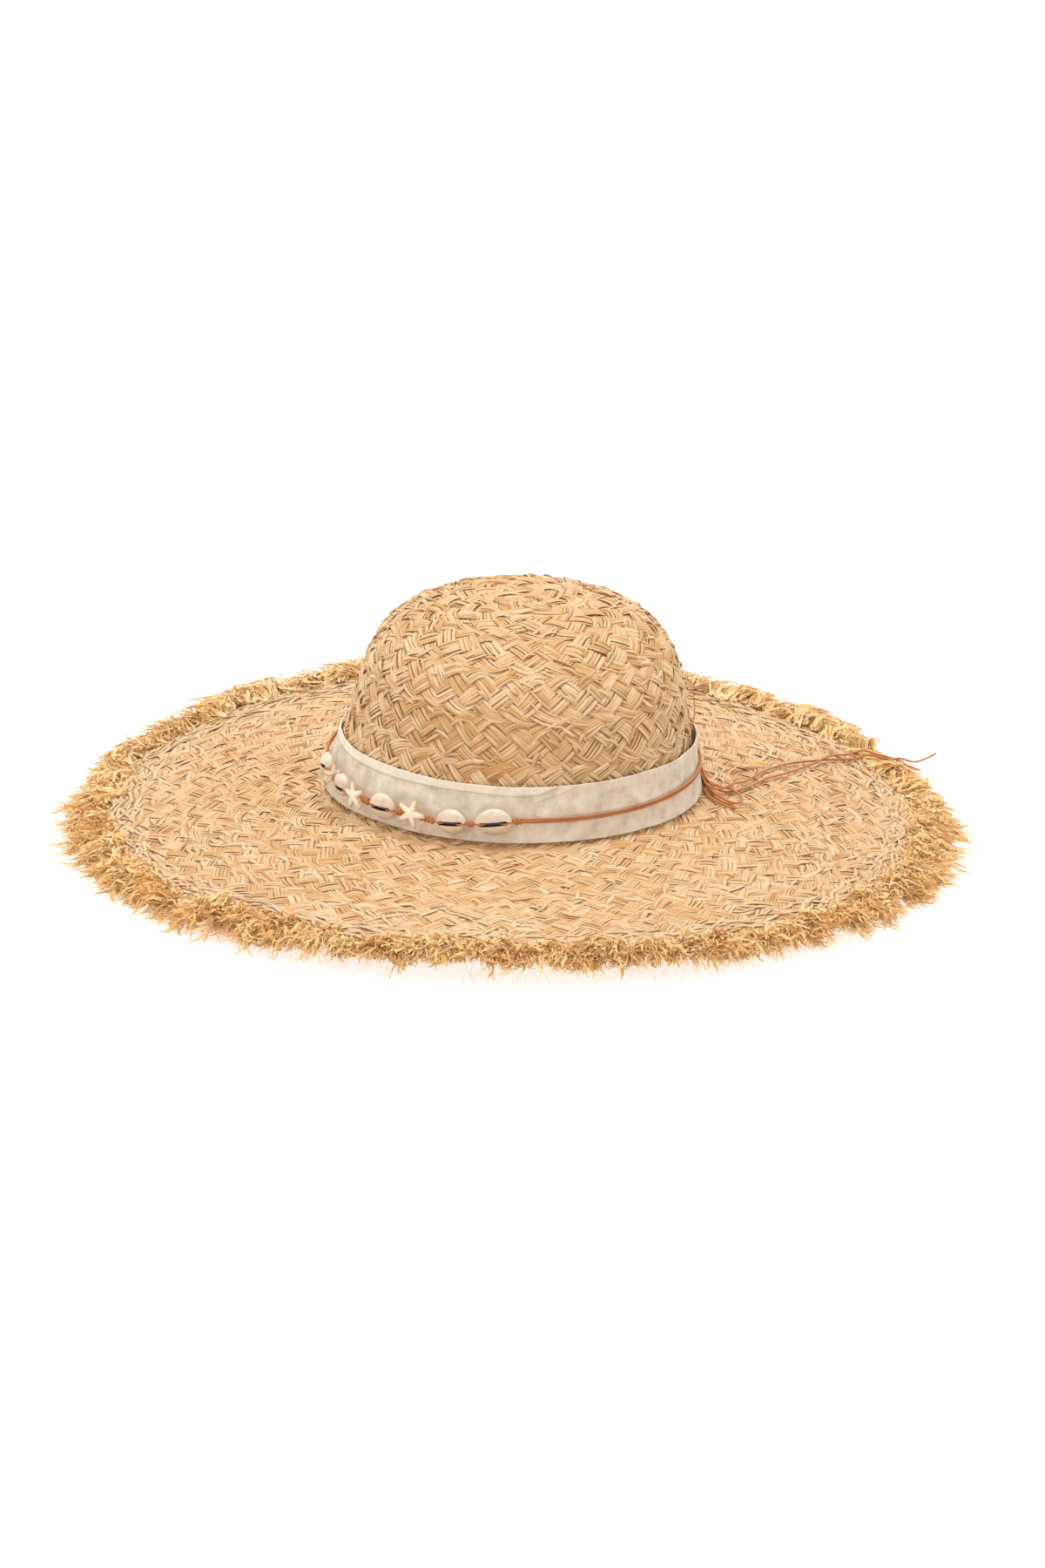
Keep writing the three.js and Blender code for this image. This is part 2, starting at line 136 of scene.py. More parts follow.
FOOT_DIP = 2.2  # how far the crown's foot dips at the sides
DIP_END_R, DIP_END_Z = 140, 70  # where the dip has faded out, on the brim and up the crown
LEAN = 3.4  # how far the crown leans towards +X, the wearer's left
LEAN_Z = (5, 60)  # heights between which it leans
SHOULDER, SHOULDER_Z, SHOULDER_REACH = 1.5, 86, 11  # how far its shoulder stands out
WAIST, WAIST_Z, WAIST_REACH = 2.1, 46, 16  # how far its wall is drawn in above the linen
BOW_OUT = 2  # from the linen's cord to the bow's knot, which the CAD keeps 2.6 away
REACH_ANGLE = 10  # degrees in which the doubled cord comes in to the linen
STAR_TURN = 9  # degrees that the starfish have turned round on their cord
COWRIE_HEIGHT = 1.08  # a cowrie's height as a share of the CAD's

# ---- the fringe, in millimetres ----

FRINGE_PARTS = 8  # pieces round the hat
TUFTS = 72  # in each piece
TUFT_STRIPS = 44
TUFT_ROOTS = (207, 218)  # radii where tufts leave the braid
TUFT_LENGTHS = (17, 35)
STRIP_HALVES = (0.28, 0.5, 0.9)  # half widths of the fringe's strips
TAILS_ANGLE, TAILS_HALF_ANGLE = 29.5, 4.5  # where the cord's tails cross the edge, in degrees

FULLNESS = 1  # share of the loose straws that are made

# ---- mathematics ----


def smoothstep(x, low, high):
    t = np.clip((x - low) / (high - low), 0, 1)
    return t * t * (3 - 2 * t)


def hill(x, middle, reach):
    """A smooth hill: 1 at the middle, and a third at a reach away from it."""
    return np.exp(-((x - middle) / reach) ** 2)


def wander(x, wavelength, seed):
    """A smooth random value from -1 to 1 along x."""
    values = np.random.default_rng(seed).uniform(-1, 1, 4096)
    at = np.asarray(x) / wavelength
    i = np.floor(at).astype(int)
    t = smoothstep(at - i, 0, 1)
    return values[i % 4096] * (1 - t) + values[(i + 1) % 4096] * t


def patches(x, y, wavelength, seed, around=None):
    """A smooth random value from -1 to 1 over a plane, which repeats in x after around."""
    values = np.random.default_rng(seed).uniform(-1, 1, (256, 256))
    cells = 256 if around is None else max(3, round(around / wavelength))
    u = np.asarray(x) / wavelength if around is None else np.asarray(x) / around * cells
    v = np.asarray(y) / wavelength
    i, j = np.floor(u).astype(int), np.floor(v).astype(int)
    s, t = smoothstep(u - i, 0, 1), smoothstep(v - j, 0, 1)

    def corner(a, b):
        return values[(i + a) % cells, (j + b) % 256]

    low = corner(0, 0) * (1 - s) + corner(1, 0) * s
    high = corner(0, 1) * (1 - s) + corner(1, 1) * s
    return low * (1 - t) + high * t


def unit(v):
    return v / np.maximum(np.linalg.norm(v, axis=-1, keepdims=True), 1e-9)


def spread(points, spacing):
    """The same polyline with its points a constant distance apart."""
    points = np.asarray(points, float)
    way = np.concatenate([[0], np.cumsum(np.linalg.norm(np.diff(points, axis=0), axis=1))])
    count = max(2, int(round(way[-1] / spacing)) + 1)
    at = np.linspace(0, way[-1], count)
    return np.stack([np.interp(at, way, points[:, k]) for k in range(points.shape[1])], 1)


def smooth_line(points, spacing, power=0.5):
    """A Catmull-Rom curve through the points: power 0.5 is centripetal, 0 is uniform."""
    p = np.asarray(points, float)
    p = np.vstack([2 * p[0] - p[1], p, 2 * p[-1] - p[-2]])
    line = []
    for p0, p1, p2, p3 in zip(p, p[1:], p[2:], p[3:]):
        d0, d1, d2 = (max(np.linalg.norm(b - a), 1e-6) ** power
                      for a, b in ((p0, p1), (p1, p2), (p2, p3)))
        t1 = ((p1 - p0) / d0 - (p2 - p0) / (d0 + d1) + (p2 - p1) / d1) * d1
        t2 = ((p2 - p1) / d1 - (p3 - p1) / (d1 + d2) + (p3 - p2) / d2) * d1
        t = np.linspace(0, 1, 24, endpoint=False)[:, None]
        line.append(p1 + t1 * t + (3 * (p2 - p1) - 2 * t1 - t2) * t ** 2
                    + (2 * (p1 - p2) + t1 + t2) * t ** 3)
    line.append(p[-2:-1])
    return spread(np.vstack(line), spacing)


# ---- the hat's surfaces ----

LINE_STEP = 0.5  # way between the points of the straw's line
BRIM_START_R = BRIM_INNER_R + 3.5  # where the straw's line has turned out into the brim

crown_outer = smooth_line(CROWN_LINE, LINE_STEP, power=0)


def crown_radius(z):
    return np.interp(z, crown_outer[:, 1], crown_outer[:, 0])


def band_radius(z):
    flare = BAND_FLARE * smoothstep(z, BAND_HIGH / 2, BAND_HIGH)
    return crown_radius(z) + 2 * GAP + BAND_T + flare


def sweatband_radius(z):
    return np.minimum(BRIM_INNER_R, crown_radius(z) - BRAID_T) - 1.5 * GAP


def slope(r):
    t = np.maximum(0, (r - FOOT_R) / (FRINGE_R - FOOT_R))
    return 0.75 * t + 0.25 * t * t


def brim_fall(r):
    """Fall of the brim's upper face from the crown's foot, where the saddle is level."""
    sag = FRINGE_DROOP * np.maximum(0, (r - BRIM_EDGE_R) / (FRINGE_R - BRIM_EDGE_R)) ** 2
    return GAP + BRIM_DROP * slope(r) + sag


def saddle(r, angle, z=0):
    """Rise of the straw towards the front and back, less the dip of the crown's foot at the
    sides, which fades outwards and upwards."""
    dip = FOOT_DIP * (1 - smoothstep(r, FOOT_R, DIP_END_R)) * (1 - smoothstep(z, 0, DIP_END_Z))
    return -SADDLE * slope(r) * np.cos(2 * angle) - dip * np.maximum(0, np.cos(2 * angle))


def brim_top(x, y):
    """Height of the brim's upper face above the ground."""
    r = np.minimum(FRINGE_R, np.hypot(x, y))
    return FOOT_Z - brim_fall(r) + saddle(r, np.arctan2(y, x))


def straw_line():
    """Middle of the straw from the crown's top to past the brim's edge: [radius, height
    above the foot] at every LINE_STEP, with the outward normals."""
    outer = crown_outer[::-1]
    way = unit(np.gradient(outer, axis=0))
    middle = outer - BRAID_T / 2 * np.stack([-way[:, 1], way[:, 0]], 1)
    middle[0, 0] = 0
    wall = middle[middle[:, 1] > 5]
    corner = [[94.1, 2.6], [94.7, 0.6], [96, -1.1]]
    r = np.arange(98.4, FRINGE_R + 1, 2)
    brim = np.stack([r, -brim_fall(r) - BRAID_T / 2], 1)
    line = smooth_line(np.vstack([wall[::8], corner, brim]), LINE_STEP)
    way = unit(np.gradient(line, axis=0))
    return line, np.stack([-way[:, 1], way[:, 0]], 1)


straw_middle, straw_normal = straw_line()
STRAW_END = LINE_STEP * int(np.argmax(straw_middle[:, 0] > BRIM_EDGE_R))  # way to the edge
CROWN_END = LINE_STEP * int(np.argmax(straw_middle[:, 0] > BRIM_START_R))


def along_straw(down, values):
    """A value of the straw's line at a way down from the crown's top."""
    return np.interp(np.asarray(down) / LINE_STEP, np.arange(len(straw_middle)), values)


def on_straw(down, angle, height):
    """Point and normal at a way down from the crown's top, at an angle round the hat, and
    a height above the straw's middle."""
    r, z, nr, nz = (along_straw(down, v) for v in (*straw_middle.T, *straw_normal.T))
    rise = saddle(r, angle, z)
    waist = WAIST * hill(z, WAIST_Z, WAIST_REACH)
    shoulder = SHOULDER * hill(z, SHOULDER_Z, SHOULDER_REACH) * smoothstep(r, 8, 50)
    across = r + height * nr - waist + shoulder
    point = np.stack([across * np.cos(angle) + lean(z), across * np.sin(angle),
                      FOOT_Z + z + height * nz + rise], -1)
    return point, unit(np.stack([nr * np.cos(angle), nr * np.sin(angle), nz], -1))


def lean(z):
    """How far the crown and what it wears stand towards +X at a height above its foot."""
    return LEAN * smoothstep(z, *LEAN_Z)


def down_to(radius):
    """Way down from the crown's top to a radius on the brim."""
    brim = straw_middle[:, 0] > BRIM_START_R
    return np.interp(radius, straw_middle[brim, 0], LINE_STEP * np.flatnonzero(brim))


# ---- meshes ----


def grid_quads(count, rows, columns, wrap):
    """Faces of count grids of rows times columns points, closed across the columns if wrap."""
    r = np.arange(rows - 1)[:, None]
    c = np.arange(columns if wrap else columns - 1)[None, :]
    after = (c + 1) % columns
    quad = np.stack([r * columns + c, r * columns + after,
                     (r + 1) * columns + after, (r + 1) * columns + c], -1).reshape(-1, 4)
    start = np.arange(count)[:, None, None] * rows * columns
    return (quad[None] + start).reshape(-1, 4)


def piece(name, points, faces, material, values=None, body="hat", stands_for=()):
    """A shown piece from points in millimetres, quads and named values at the points."""
    points = np.asarray(points, float).reshape(-1, 3) * MM
    mesh = bpy.data.meshes.new(name)
    mesh.vertices.add(len(points))
    mesh.vertices.foreach_set("co", points.astype(np.float32).ravel())
    faces = np.asarray(faces, np.int32)
    mesh.loops.add(faces.size)
    mesh.loops.foreach_set("vertex_index", faces.ravel())
    mesh.polygons.add(len(faces))
    mesh.polygons.foreach_set("loop_start", np.arange(0, faces.size, faces.shape[1], dtype=np.int32))
    mesh.polygons.foreach_set("use_smooth", np.ones(len(faces), bool))
    for key, value in (values or {}).items():
        value = np.asarray(value, np.float32)
        vector = value.shape[-1] == 3 and value.size == 3 * len(points)
        kind, word = ("FLOAT_VECTOR", "vector") if vector else ("FLOAT", "value")
        mesh.attributes.new(key, kind, "POINT").data.foreach_set(word, value.ravel())
    mesh.update(calc_edges=True)
    mesh.validate()
    mesh.materials.append(material)
    made = bpy.data.objects.new(name, mesh)
    bpy.context.scene.collection.objects.link(made)
    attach(made, body)
    if stands_for:
        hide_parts(*stands_for)
    return made


def straws(centre, normal, half, thick, roll=0.0, sides=(10, 6)):
    """Flattened bundles of fibre along paths. centre and normal are (count, rows, 3); half,
    thick and roll are (count, rows). Gives points (count, rows, columns, 3) and the place
    across each straw, from -1 to 1."""
    way = unit(np.gradient(centre, axis=1))
    side = unit(np.cross(way, normal))
    up = np.cross(side, way)
    top = np.linspace(-1, 1, sides[0])
    under = np.linspace(1, -1, sides[1] + 2)[1:-1]
    across = np.concatenate([top, under])
    dome = np.sqrt(1 - across ** 2)
    dome[sides[0]:] *= -0.85
    x = half[..., None] * across
    y = thick[..., None] * dome
    roll = np.broadcast_to(roll, half.shape)[..., None]
    turned_x = x * np.cos(roll) - y * np.sin(roll)
    turned_y = x * np.sin(roll) + y * np.cos(roll)
    points = (centre[..., None, :] + side[..., None, :] * turned_x[..., None]
              + up[..., None, :] * turned_y[..., None])
    return points, np.broadcast_to(across, x.shape)


def straw_values(across, along, tint):
    """What a straw's material reads: place across it, shifted from straw to straw so that no
    two have the same lines, way along it, and tint."""
    shifted = across + 3 * np.arange(len(across))[:, None, None]
    return np.stack([shifted, np.broadcast_to(along[..., None], across.shape),
                     np.broadcast_to(tint[..., None], across.shape)], -1)


# ---- materials ----


class Look:
    """A Principled material under construction, with short words for its nodes."""

    def __init__(self, name, roughness, specular=0.4):
        self.material = bpy.data.materials.new(name)
        self.material.use_nodes = True
        self.tree = self.material.node_tree
        self.shader = self.tree.nodes["Principled BSDF"]
        self.shader.inputs["Roughness"].default_value = roughness
        self.shader.inputs["Specular IOR Level"].default_value = specular

    def node(self, kind, **settings):
        made = self.tree.nodes.new(kind)
        for key, value in settings.items():
            setattr(made, key, value)
        return made

    def link(self, source, target):
        self.tree.links.new(source, target)

    def put(self, target, value):
        if isinstance(value, bpy.types.NodeSocket):
            self.link(value, target)
        else:
            target.default_value = value

    def math(self, operation, a, b=0.0):
        made = self.node("ShaderNodeMath", operation=operation)
        self.put(made.inputs[0], a)
        self.put(made.inputs[1], b)
        return made.outputs[0]

    def value(self, name):
        return self.node("ShaderNodeAttribute", attribute_name=name).outputs["Fac"]

    def vector(self, name):
        return self.node("ShaderNodeAttribute", attribute_name=name).outputs["Vector"]

    def place(self):
        return self.node("ShaderNodeTexCoord").outputs["Object"]

    def parts(self, vector):
        return self.node_with(vector, "ShaderNodeSeparateXYZ").outputs

    def node_with(self, vector, kind):
        made = self.node(kind)
        self.link(vector, made.inputs[0])
        return made

    def scaled(self, vector, by):
        made = self.node("ShaderNodeVectorMath", operation="MULTIPLY")
        self.link(vector, made.inputs[0])
        made.inputs[1].default_value = by
        return made.outputs[0]

    def noise(self, vector, scale, detail=2.0, roughness=0.5, distortion=0.0):
        made = self.node("ShaderNodeTexNoise")
        self.link(vector, made.inputs["Vector"])
        made.inputs["Scale"].default_value = scale
        made.inputs["Detail"].default_value = detail
        made.inputs["Roughness"].default_value = roughness
        made.inputs["Distortion"].default_value = distortion
        return made.outputs[0]

    def ramp(self, factor, stops):
        """Colours by factor; a stop is (place, colour), and a grey may be one number."""
        made = self.node("ShaderNodeValToRGB")
        elements = made.color_ramp.elements
        for _ in stops[2:]:
            elements.new(0.5)
        for element, (at, colour) in zip(elements, stops):
            element.position = at
            element.color = (*((colour,) * 3 if isinstance(colour, (int, float)) else colour), 1)
        self.link(factor, made.inputs[0])
        return made.outputs[0]

    def weighted(self, a, a_weight, b, b_weight):
        """The sum of two values times their weights."""
        return self.math("ADD", self.math("MULTIPLY", a, a_weight),
                         self.math("MULTIPLY", b, b_weight))

    def mix(self, factor, a, b):
        made = self.node("ShaderNodeMix", data_type="RGBA")
        self.put(made.inputs[0], factor)
        for socket, value in ((made.inputs[6], a), (made.inputs[7], b)):
            self.put(socket, value if isinstance(value, bpy.types.NodeSocket) else (*value, 1))
        return made.outputs[2]

    def laid_over(self, colour, other, share, factor, stops):
        """The colour with a share of the other over it, by a grey ramp of the factor."""
        return self.mix(self.math("MULTIPLY", self.ramp(factor, stops), share), colour, other)

    def finish(self, colour, height=None, depth=0.0001, strength=1.0):
        self.link(colour, self.shader.inputs["Base Color"])
        if height is not None:
            bump = self.node("ShaderNodeBump")
            bump.inputs["Distance"].default_value = depth
            bump.inputs["Strength"].default_value = strength
            self.link(height, bump.inputs["Height"])
            self.link(bump.outputs[0], self.shader.inputs["Normal"])
        return self.material


def srgb(r, g, b):
    """Linear colour from sRGB values of 0 to 255."""
    return tuple(c / 12.92 if c <= 0.04045 else ((c + 0.055) / 1.055) ** 2.4
                 for c in (v / 255 for v in (r, g, b)))


def raffia(name, pale, middle, deep, line):
    """Dried palm fibre: fine lines along each straw, tints from straw to straw, and painted
    shade in a deeper colour down between them."""
    look = Look(name, 0.6, 0.3)
    look.shader.inputs["Sheen Weight"].default_value = 0.12
    look.shader.inputs["Sheen Roughness"].default_value = 0.45
    straw = look.vector("straw")  # as straw_values makes it
    across, along, tint = look.parts(straw)
    depth = look.value("depth")  # 0 down in the weave, 1 on top of it
    fibres = look.noise(look.scaled(straw, (1.1, 0.04, 13)), 1.0, 3.0, 0.6)
    threads = look.noise(look.scaled(straw, (3.4, 0.05, 29)), 1.0, 2.0, 0.55)
    mottle = look.noise(look.place(), 120, 3.0)
    colour = look.ramp(look.weighted(fibres, 0.6, tint, 0.5),
                       [(0.3, deep), (0.54, middle), (0.78, pale)])
    colour = look.laid_over(colour, line, 0.7, threads, [(0.36, 1.0), (0.44, 0.0)])
    colour = look.laid_over(colour, deep, 0.22, mottle, [(0.35, 1.0), (0.6, 0.0)])
    # painted shade: the line colour laid over where depth is low, down in the weave
    colour = look.laid_over(colour, line, 0.85, depth, [(0.12, 1.0), (0.66, 0.0)])
    height = look.weighted(fibres, 0.6, threads, 0.5)
    return look.finish(colour, height, depth=0.00035, strength=0.8)


def linen(name):
    """Washed off-white linen: slubbed threads both ways, mottled with faint grey and tan."""
    look = Look(name, 0.92, 0.2)
    marked = look.vector("cloth")  # along and up in millimetres, and 1 where folded over
    cloth = look.scaled(marked, (1, 1, 0))
    warp = look.noise(look.scaled(cloth, (3.2, 0.25, 1)), 1.0, 2.0)
    weft = look.noise(look.scaled(cloth, (0.25, 3.2, 1)), 1.0, 2.0)
    weave = look.math("MAXIMUM", warp, weft)
    stain = look.noise(cloth, 0.11, 4.0, 0.65)
    specks = look.noise(cloth, 0.9, 2.0, 0.7)
    colour = look.ramp(stain, [(0.34, srgb(195, 179, 157)), (0.5, srgb(217, 204, 184)),
                               (0.66, srgb(230, 220, 202))])
    _, _, folded = look.parts(marked)
    colour = look.mix(look.math("MULTIPLY", folded, 0.55), colour, srgb(236, 225, 208))
    colour = look.laid_over(colour, srgb(176, 156, 132), 0.5, specks, [(0.3, 1.0), (0.4, 0.0)])
    colour = look.laid_over(colour, srgb(190, 168, 142), 0.28, weave, [(0.45, 1.0), (0.7, 0.0)])
    return look.finish(colour, weave, depth=0.00018, strength=0.7)


def twill(name):
    """The sweatband's cotton tape: fine ribs across it."""
    look = Look(name, 0.9, 0.2)
    cloth = look.vector("cloth")
    along, up, _ = look.parts(cloth)
    rib = look.math("SINE", look.weighted(along, 6.0, up, 6.0))
    fluff = look.noise(cloth, 1.4, 3.0)
    colour = look.laid_over(srgb(236, 224, 203), srgb(206, 188, 160), 0.35, rib,
                            [(0.0, 1.0), (0.8, 0.0)])
    colour = look.mix(look.math("MULTIPLY", fluff, 0.3), colour, srgb(222, 206, 180))
    return look.finish(colour, rib, depth=0.00015, strength=0.6)


def waxed_cord(name, pale, deep):
    """Twisted waxed cotton: plies wind round it, painted shade in the grooves between them."""
    look = Look(name, 0.5, 0.4)
    ply = look.value("ply")  # 0 in the groove between two plies, 1 on a ply's crest
    cord = look.vector("cord")  # turns round, along in millimetres, tint
    fibres = look.noise(look.scaled(cord, (4, 1.2, 19)), 1.0, 3.0, 0.6)
    worn = look.noise(look.place(), 90, 3.0)
    # painted shade: deep colour in the grooves, pale on the ply crests
    colour = look.ramp(look.weighted(ply, 0.5, fibres, 0.5), [(0.2, deep), (0.75, pale)])
    colour = look.laid_over(colour, srgb(202, 140, 86), 0.3, worn, [(0.35, 0.0), (0.7, 1.0)])
    return look.finish(colour, fibres, depth=0.00012, strength=0.6)


def cowrie_shell(name):
    """Polished ivory with a faint tan blush, pale teeth, and a toothed mouth, tan at its
    edge and painted shade, nearly black, deep in it.
    """
    look = Look(name, 0.22, 0.5)
    mouth = look.value("mouth")  # 1 deep in the mouth
    ridge = look.value("ridge")  # 1 on a tooth
    clouds = look.noise(look.place(), 260, 3.0, 0.6)
    grain = look.noise(look.place(), 900, 3.0)
    colour = look.ramp(clouds, [(0.25, srgb(196, 170, 142)), (0.5, srgb(210, 190, 165)),
                                (0.75, srgb(217, 202, 182))])
    colour = look.mix(look.math("MULTIPLY", ridge, 0.5), colour, srgb(240, 228, 208))
    colour = look.mix(look.ramp(mouth, [(0.15, 0.0), (0.3, 1.0)]), colour, srgb(178, 126, 84))
    # painted shade, nearly black, deep in the mouth
    colour = look.mix(look.ramp(mouth, [(0.3, 0.0), (0.55, 1.0)]), colour, srgb(50, 18, 10))
    look.shader.inputs["Coat Weight"].default_value = 0.35
    look.shader.inputs["Coat Roughness"].default_value = 0.12
    return look.finish(colour, grain, depth=0.00004, strength=0.4)


def starfish_skin(name):
    """Dried starfish: matte cream, with painted shade in tan down its sides, finely pimpled."""
    look = Look(name, 0.8, 0.25)
    height = look.value("height")  # 0 at the rim, 1 on the ridge of an arm
    pimples = look.noise(look.place(), 1500, 3.0, 0.6)
    clouds = look.noise(look.place(), 320, 3.0)
    # painted shade: darker tan from the arms' ridges down to the rim
    colour = look.ramp(look.weighted(height, 0.8, clouds, 0.3), [
        (0.12, srgb(184, 146, 102)), (0.42, srgb(220, 196, 160)), (0.8, srgb(242, 230, 208))])
    return look.finish(colour, pimples, depth=0.0002, strength=0.7)


def studio_white(name):
    """A pale floor that glows faintly, like a light table."""
    look = Look(name, 0.9, 0.1)
    look.shader.inputs["Emission Color"].default_value = (1, 1, 1, 1)
    look.shader.inputs["Emission Strength"].default_value = 0.75
    soft = look.noise(look.place(), 3.0)
    return look.finish(look.ramp(soft, [(0.0, 0.6), (1.0, 0.61)]))


# in raffia the line colour serves both the strips' own dark threads and the painted shade down in
# the weave
STRAW = raffia("raffia", srgb(217, 188, 149), srgb(203, 169, 122), srgb(186, 140, 85),
               srgb(194, 116, 46))
FRINGE = raffia("fringe", srgb(247, 219, 168), srgb(240, 197, 130), srgb(220, 165, 92),
                srgb(168, 100, 40))
LINEN = linen("linen")
COTTON = twill("cotton")
THREAD = waxed_cord("thread", srgb(240, 226, 196), srgb(196, 174, 136))
CORD = waxed_cord("waxed_cord", srgb(192, 118, 58), srgb(132, 68, 26))
SHELL = cowrie_shell("shell")
STARFISH = starfish_skin("starfish")

# ---- camera: in front, 20 degrees up, long lens, rolled a little ----

FRAME_H = 0.81  # what the view's height spans at the hat, in metres
LENS = 500
ELEVATION = math.radians(20)
TILT = math.radians(1.35)
AIM_RIGHT = 0.0047
AIM_UP = -0.00225


def add_camera():
    data = bpy.data.cameras.new("camera")
    data.lens = LENS
    data.sensor_width = 36
    data.clip_end = 50
    camera = bpy.data.objects.new("camera", data)
    bpy.context.scene.collection.objects.link(camera)
    turn = Matrix.Rotation(math.pi / 2 - ELEVATION, 3, "X") @ Matrix.Rotation(TILT, 3, "Z")
    right, up, back = (turn @ Vector(v) for v in ((1, 0, 0), (0, 1, 0), (0, 0, 1)))
    aim = Vector((0, 0, FOOT_Z * MM)) + AIM_RIGHT * right + AIM_UP * up
    distance = FRAME_H * LENS / data.sensor_width
    camera.matrix_world = Matrix.Translation(aim + distance * back) @ turn.to_4x4()
    bpy.context.scene.camera = camera


add_camera()

# ---- cords ----


def around_crown(angle, radius, z):
    """A point at an angle in degrees, a radius, and a height above the crown's foot."""
    a = np.radians(angle)
    return np.stack([radius * np.cos(a), radius * np.sin(a), FOOT_Z + z + 0 * a], -1)


def cord_tube(route, radius, plies=3, lay=5.0, sides=12):
    """Rings of a twisted cord along a route, with their values."""
    way = unit(np.gradient(route, axis=0))
    side = unit(np.cross(way, [0.13, 0.21, 0.97]))
    up = np.cross(side, way)
    around = np.linspace(0, 2 * np.pi, sides, endpoint=False)
    along = np.arange(len(route)) * np.linalg.norm(np.diff(route, axis=0), axis=1).mean()
    crest = np.abs(np.cos(plies / 2 * (around[None] - 2 * np.pi * along[:, None] / lay)))
    r = radius * (0.9 + 0.12 * crest)
    ends = np.ones(len(route))
    ends[[0, -1]] = 0.15
    ends[[1, -2]] = 0.8
    r = r * ends[:, None]
    points = (route[:, None] + side[:, None] * (r * np.cos(around))[..., None]
              + up[:, None] * (r * np.sin(around))[..., None])
    cord = np.stack([np.broadcast_to(around / (2 * np.pi), r.shape),
                     np.broadcast_to(along[:, None], r.shape), np.zeros(r.shape)], -1)
    return points, crest, cord


def cord_piece(name, routes, stands_for=(), radius=CORD_R, body="hat", material=None,
               lay=5.0, sides=12, spacing=0.7):
    """One or several lengths of cord as one piece."""
    points, crests, cords, faces, start = [], [], [], [], 0
    for k, route in enumerate(routes):
        p, crest, cord = cord_tube(spread(route, spacing), radius, lay=lay, sides=sides)
        cord[..., 2] = (k * 0.37) % 1
        faces.append(grid_quads(1, len(p), sides, True) + start)
        start += len(p) * sides
        points.append(p.reshape(-1, 3))
        crests.append(crest.ravel())
        cords.append(cord.reshape(-1, 3))
    return piece(name, np.vstack(points), np.vstack(faces), material or CORD,
                 {"ply": np.concatenate(crests), "cord": np.vstack(cords)},
                 body=body, stands_for=stands_for)


def knot_middle():
    """The middle of the bow's knot, where its loops and tails start."""
    return around_crown(BOW_ANGLE, band_radius(BOW_Z) + GAP + CORD_R + BOW_OUT, BOW_Z)


def free_cord(name, route, far_end):
    """A tail or loop of the bow: from its knot over the brim, and back to it for a loop."""
    points = [[x, y, brim_top(x, y) + up] for x, y, up in route]
    start = knot_middle()
    line = smooth_line([start, *points, start] if far_end == "object" else [start, *points], 0.7)
    made = cord_piece(name + "_line", [line], stands_for=[name])


free_cord("bow_tail_a", TAIL_A, "bare")
free_cord("bow_tail_b", TAIL_B, "bare")
free_cord("bow_loop_a", LOOP_A, "object")
free_cord("bow_loop_b", LOOP_B, "object")


def held_strand(start, end, side):
    """One strand of the doubled cord between two places on its way round the linen."""
    turn = end["angle"] - start["angle"]
    t = np.linspace(0, 1, max(6, round(abs(turn) / 4)) + 1)
    leave = start["reach"] * smoothstep(abs(turn) * t, REACH_ANGLE, 0.5)
    arrive = end["reach"] * smoothstep(abs(turn) * (1 - t), REACH_ANGLE, 0.5)
    z = (PAIR_Z + (start["z"] - PAIR_Z) * leave / start["reach"]
         + (end["z"] - PAIR_Z) * arrive / end["reach"])
    r = band_radius(PAIR_Z) + 2 * GAP + CORD_R + leave + arrive
    return smooth_line(around_crown(start["angle"] + turn * t, r, z + side * PAIR_SPLIT), 0.7)


def doubled_cord():
    lift = STANDOFF - GAP - CORD_R
    front = dict(angle=FIRST_END["angle"] - 1.2, z=FIRST_END["z"], reach=lift)
    bow_in = dict(angle=BOW_ANGLE - 1.85, z=BOW_Z, reach=BOW_OUT)
    bow_out = dict(angle=BOW_ANGLE + 1.85, z=BOW_Z, reach=BOW_OUT)
    back = dict(angle=LAST_END["angle"] + 361.2, z=LAST_END["z"], reach=lift)
    for place, side in (("upper", 1), ("lower", -1)):
        for name, start, end in (("front", front, bow_in), ("back", bow_out, back)):
            node = f"{name}_cord_{place}"
            cord_piece(node + "_line", [held_strand(start, end, side)], stands_for=[node])


doubled_cord()


def frame_at(centre, along):
    """Frame of a piece on the cord: X back along the cord, Y inwards to the crown, Z up."""
    x = -unit(along)
    y = np.array([-centre[0], -centre[1], 0])
    y = unit(y - x * (y @ x))
    return np.stack([x, y, np.cross(x, y)], 1)


def put(points, centre, axes):
    """Points of a frame of their own, in the hat's."""
    return centre + np.asarray(points) @ axes.T


def wound_knot(length):
    """Two cords plaited round the core in opposite turns, in the knot's own frame."""
    turns = max(2, round(length / 2.3))
    t = np.linspace(0, 1, turns * 28)
    x = (t - 0.5) * (length - 0.9)
    routes = []
    for hand, shift in ((1, 0), (-1, np.pi)):
        a = hand * 2 * np.pi * turns * t + shift
        r = 1.2 + 0.25 * np.sin(2 * a + shift)
        routes.append(np.stack([x, r * np.cos(a), r * np.sin(a)], 1))
    return routes


def on_string(place):
    """Where the beads' cord passes an angle round the hat."""
    return around_crown(place["angle"], band_radius(place["z"]) + STANDOFF, place["z"])


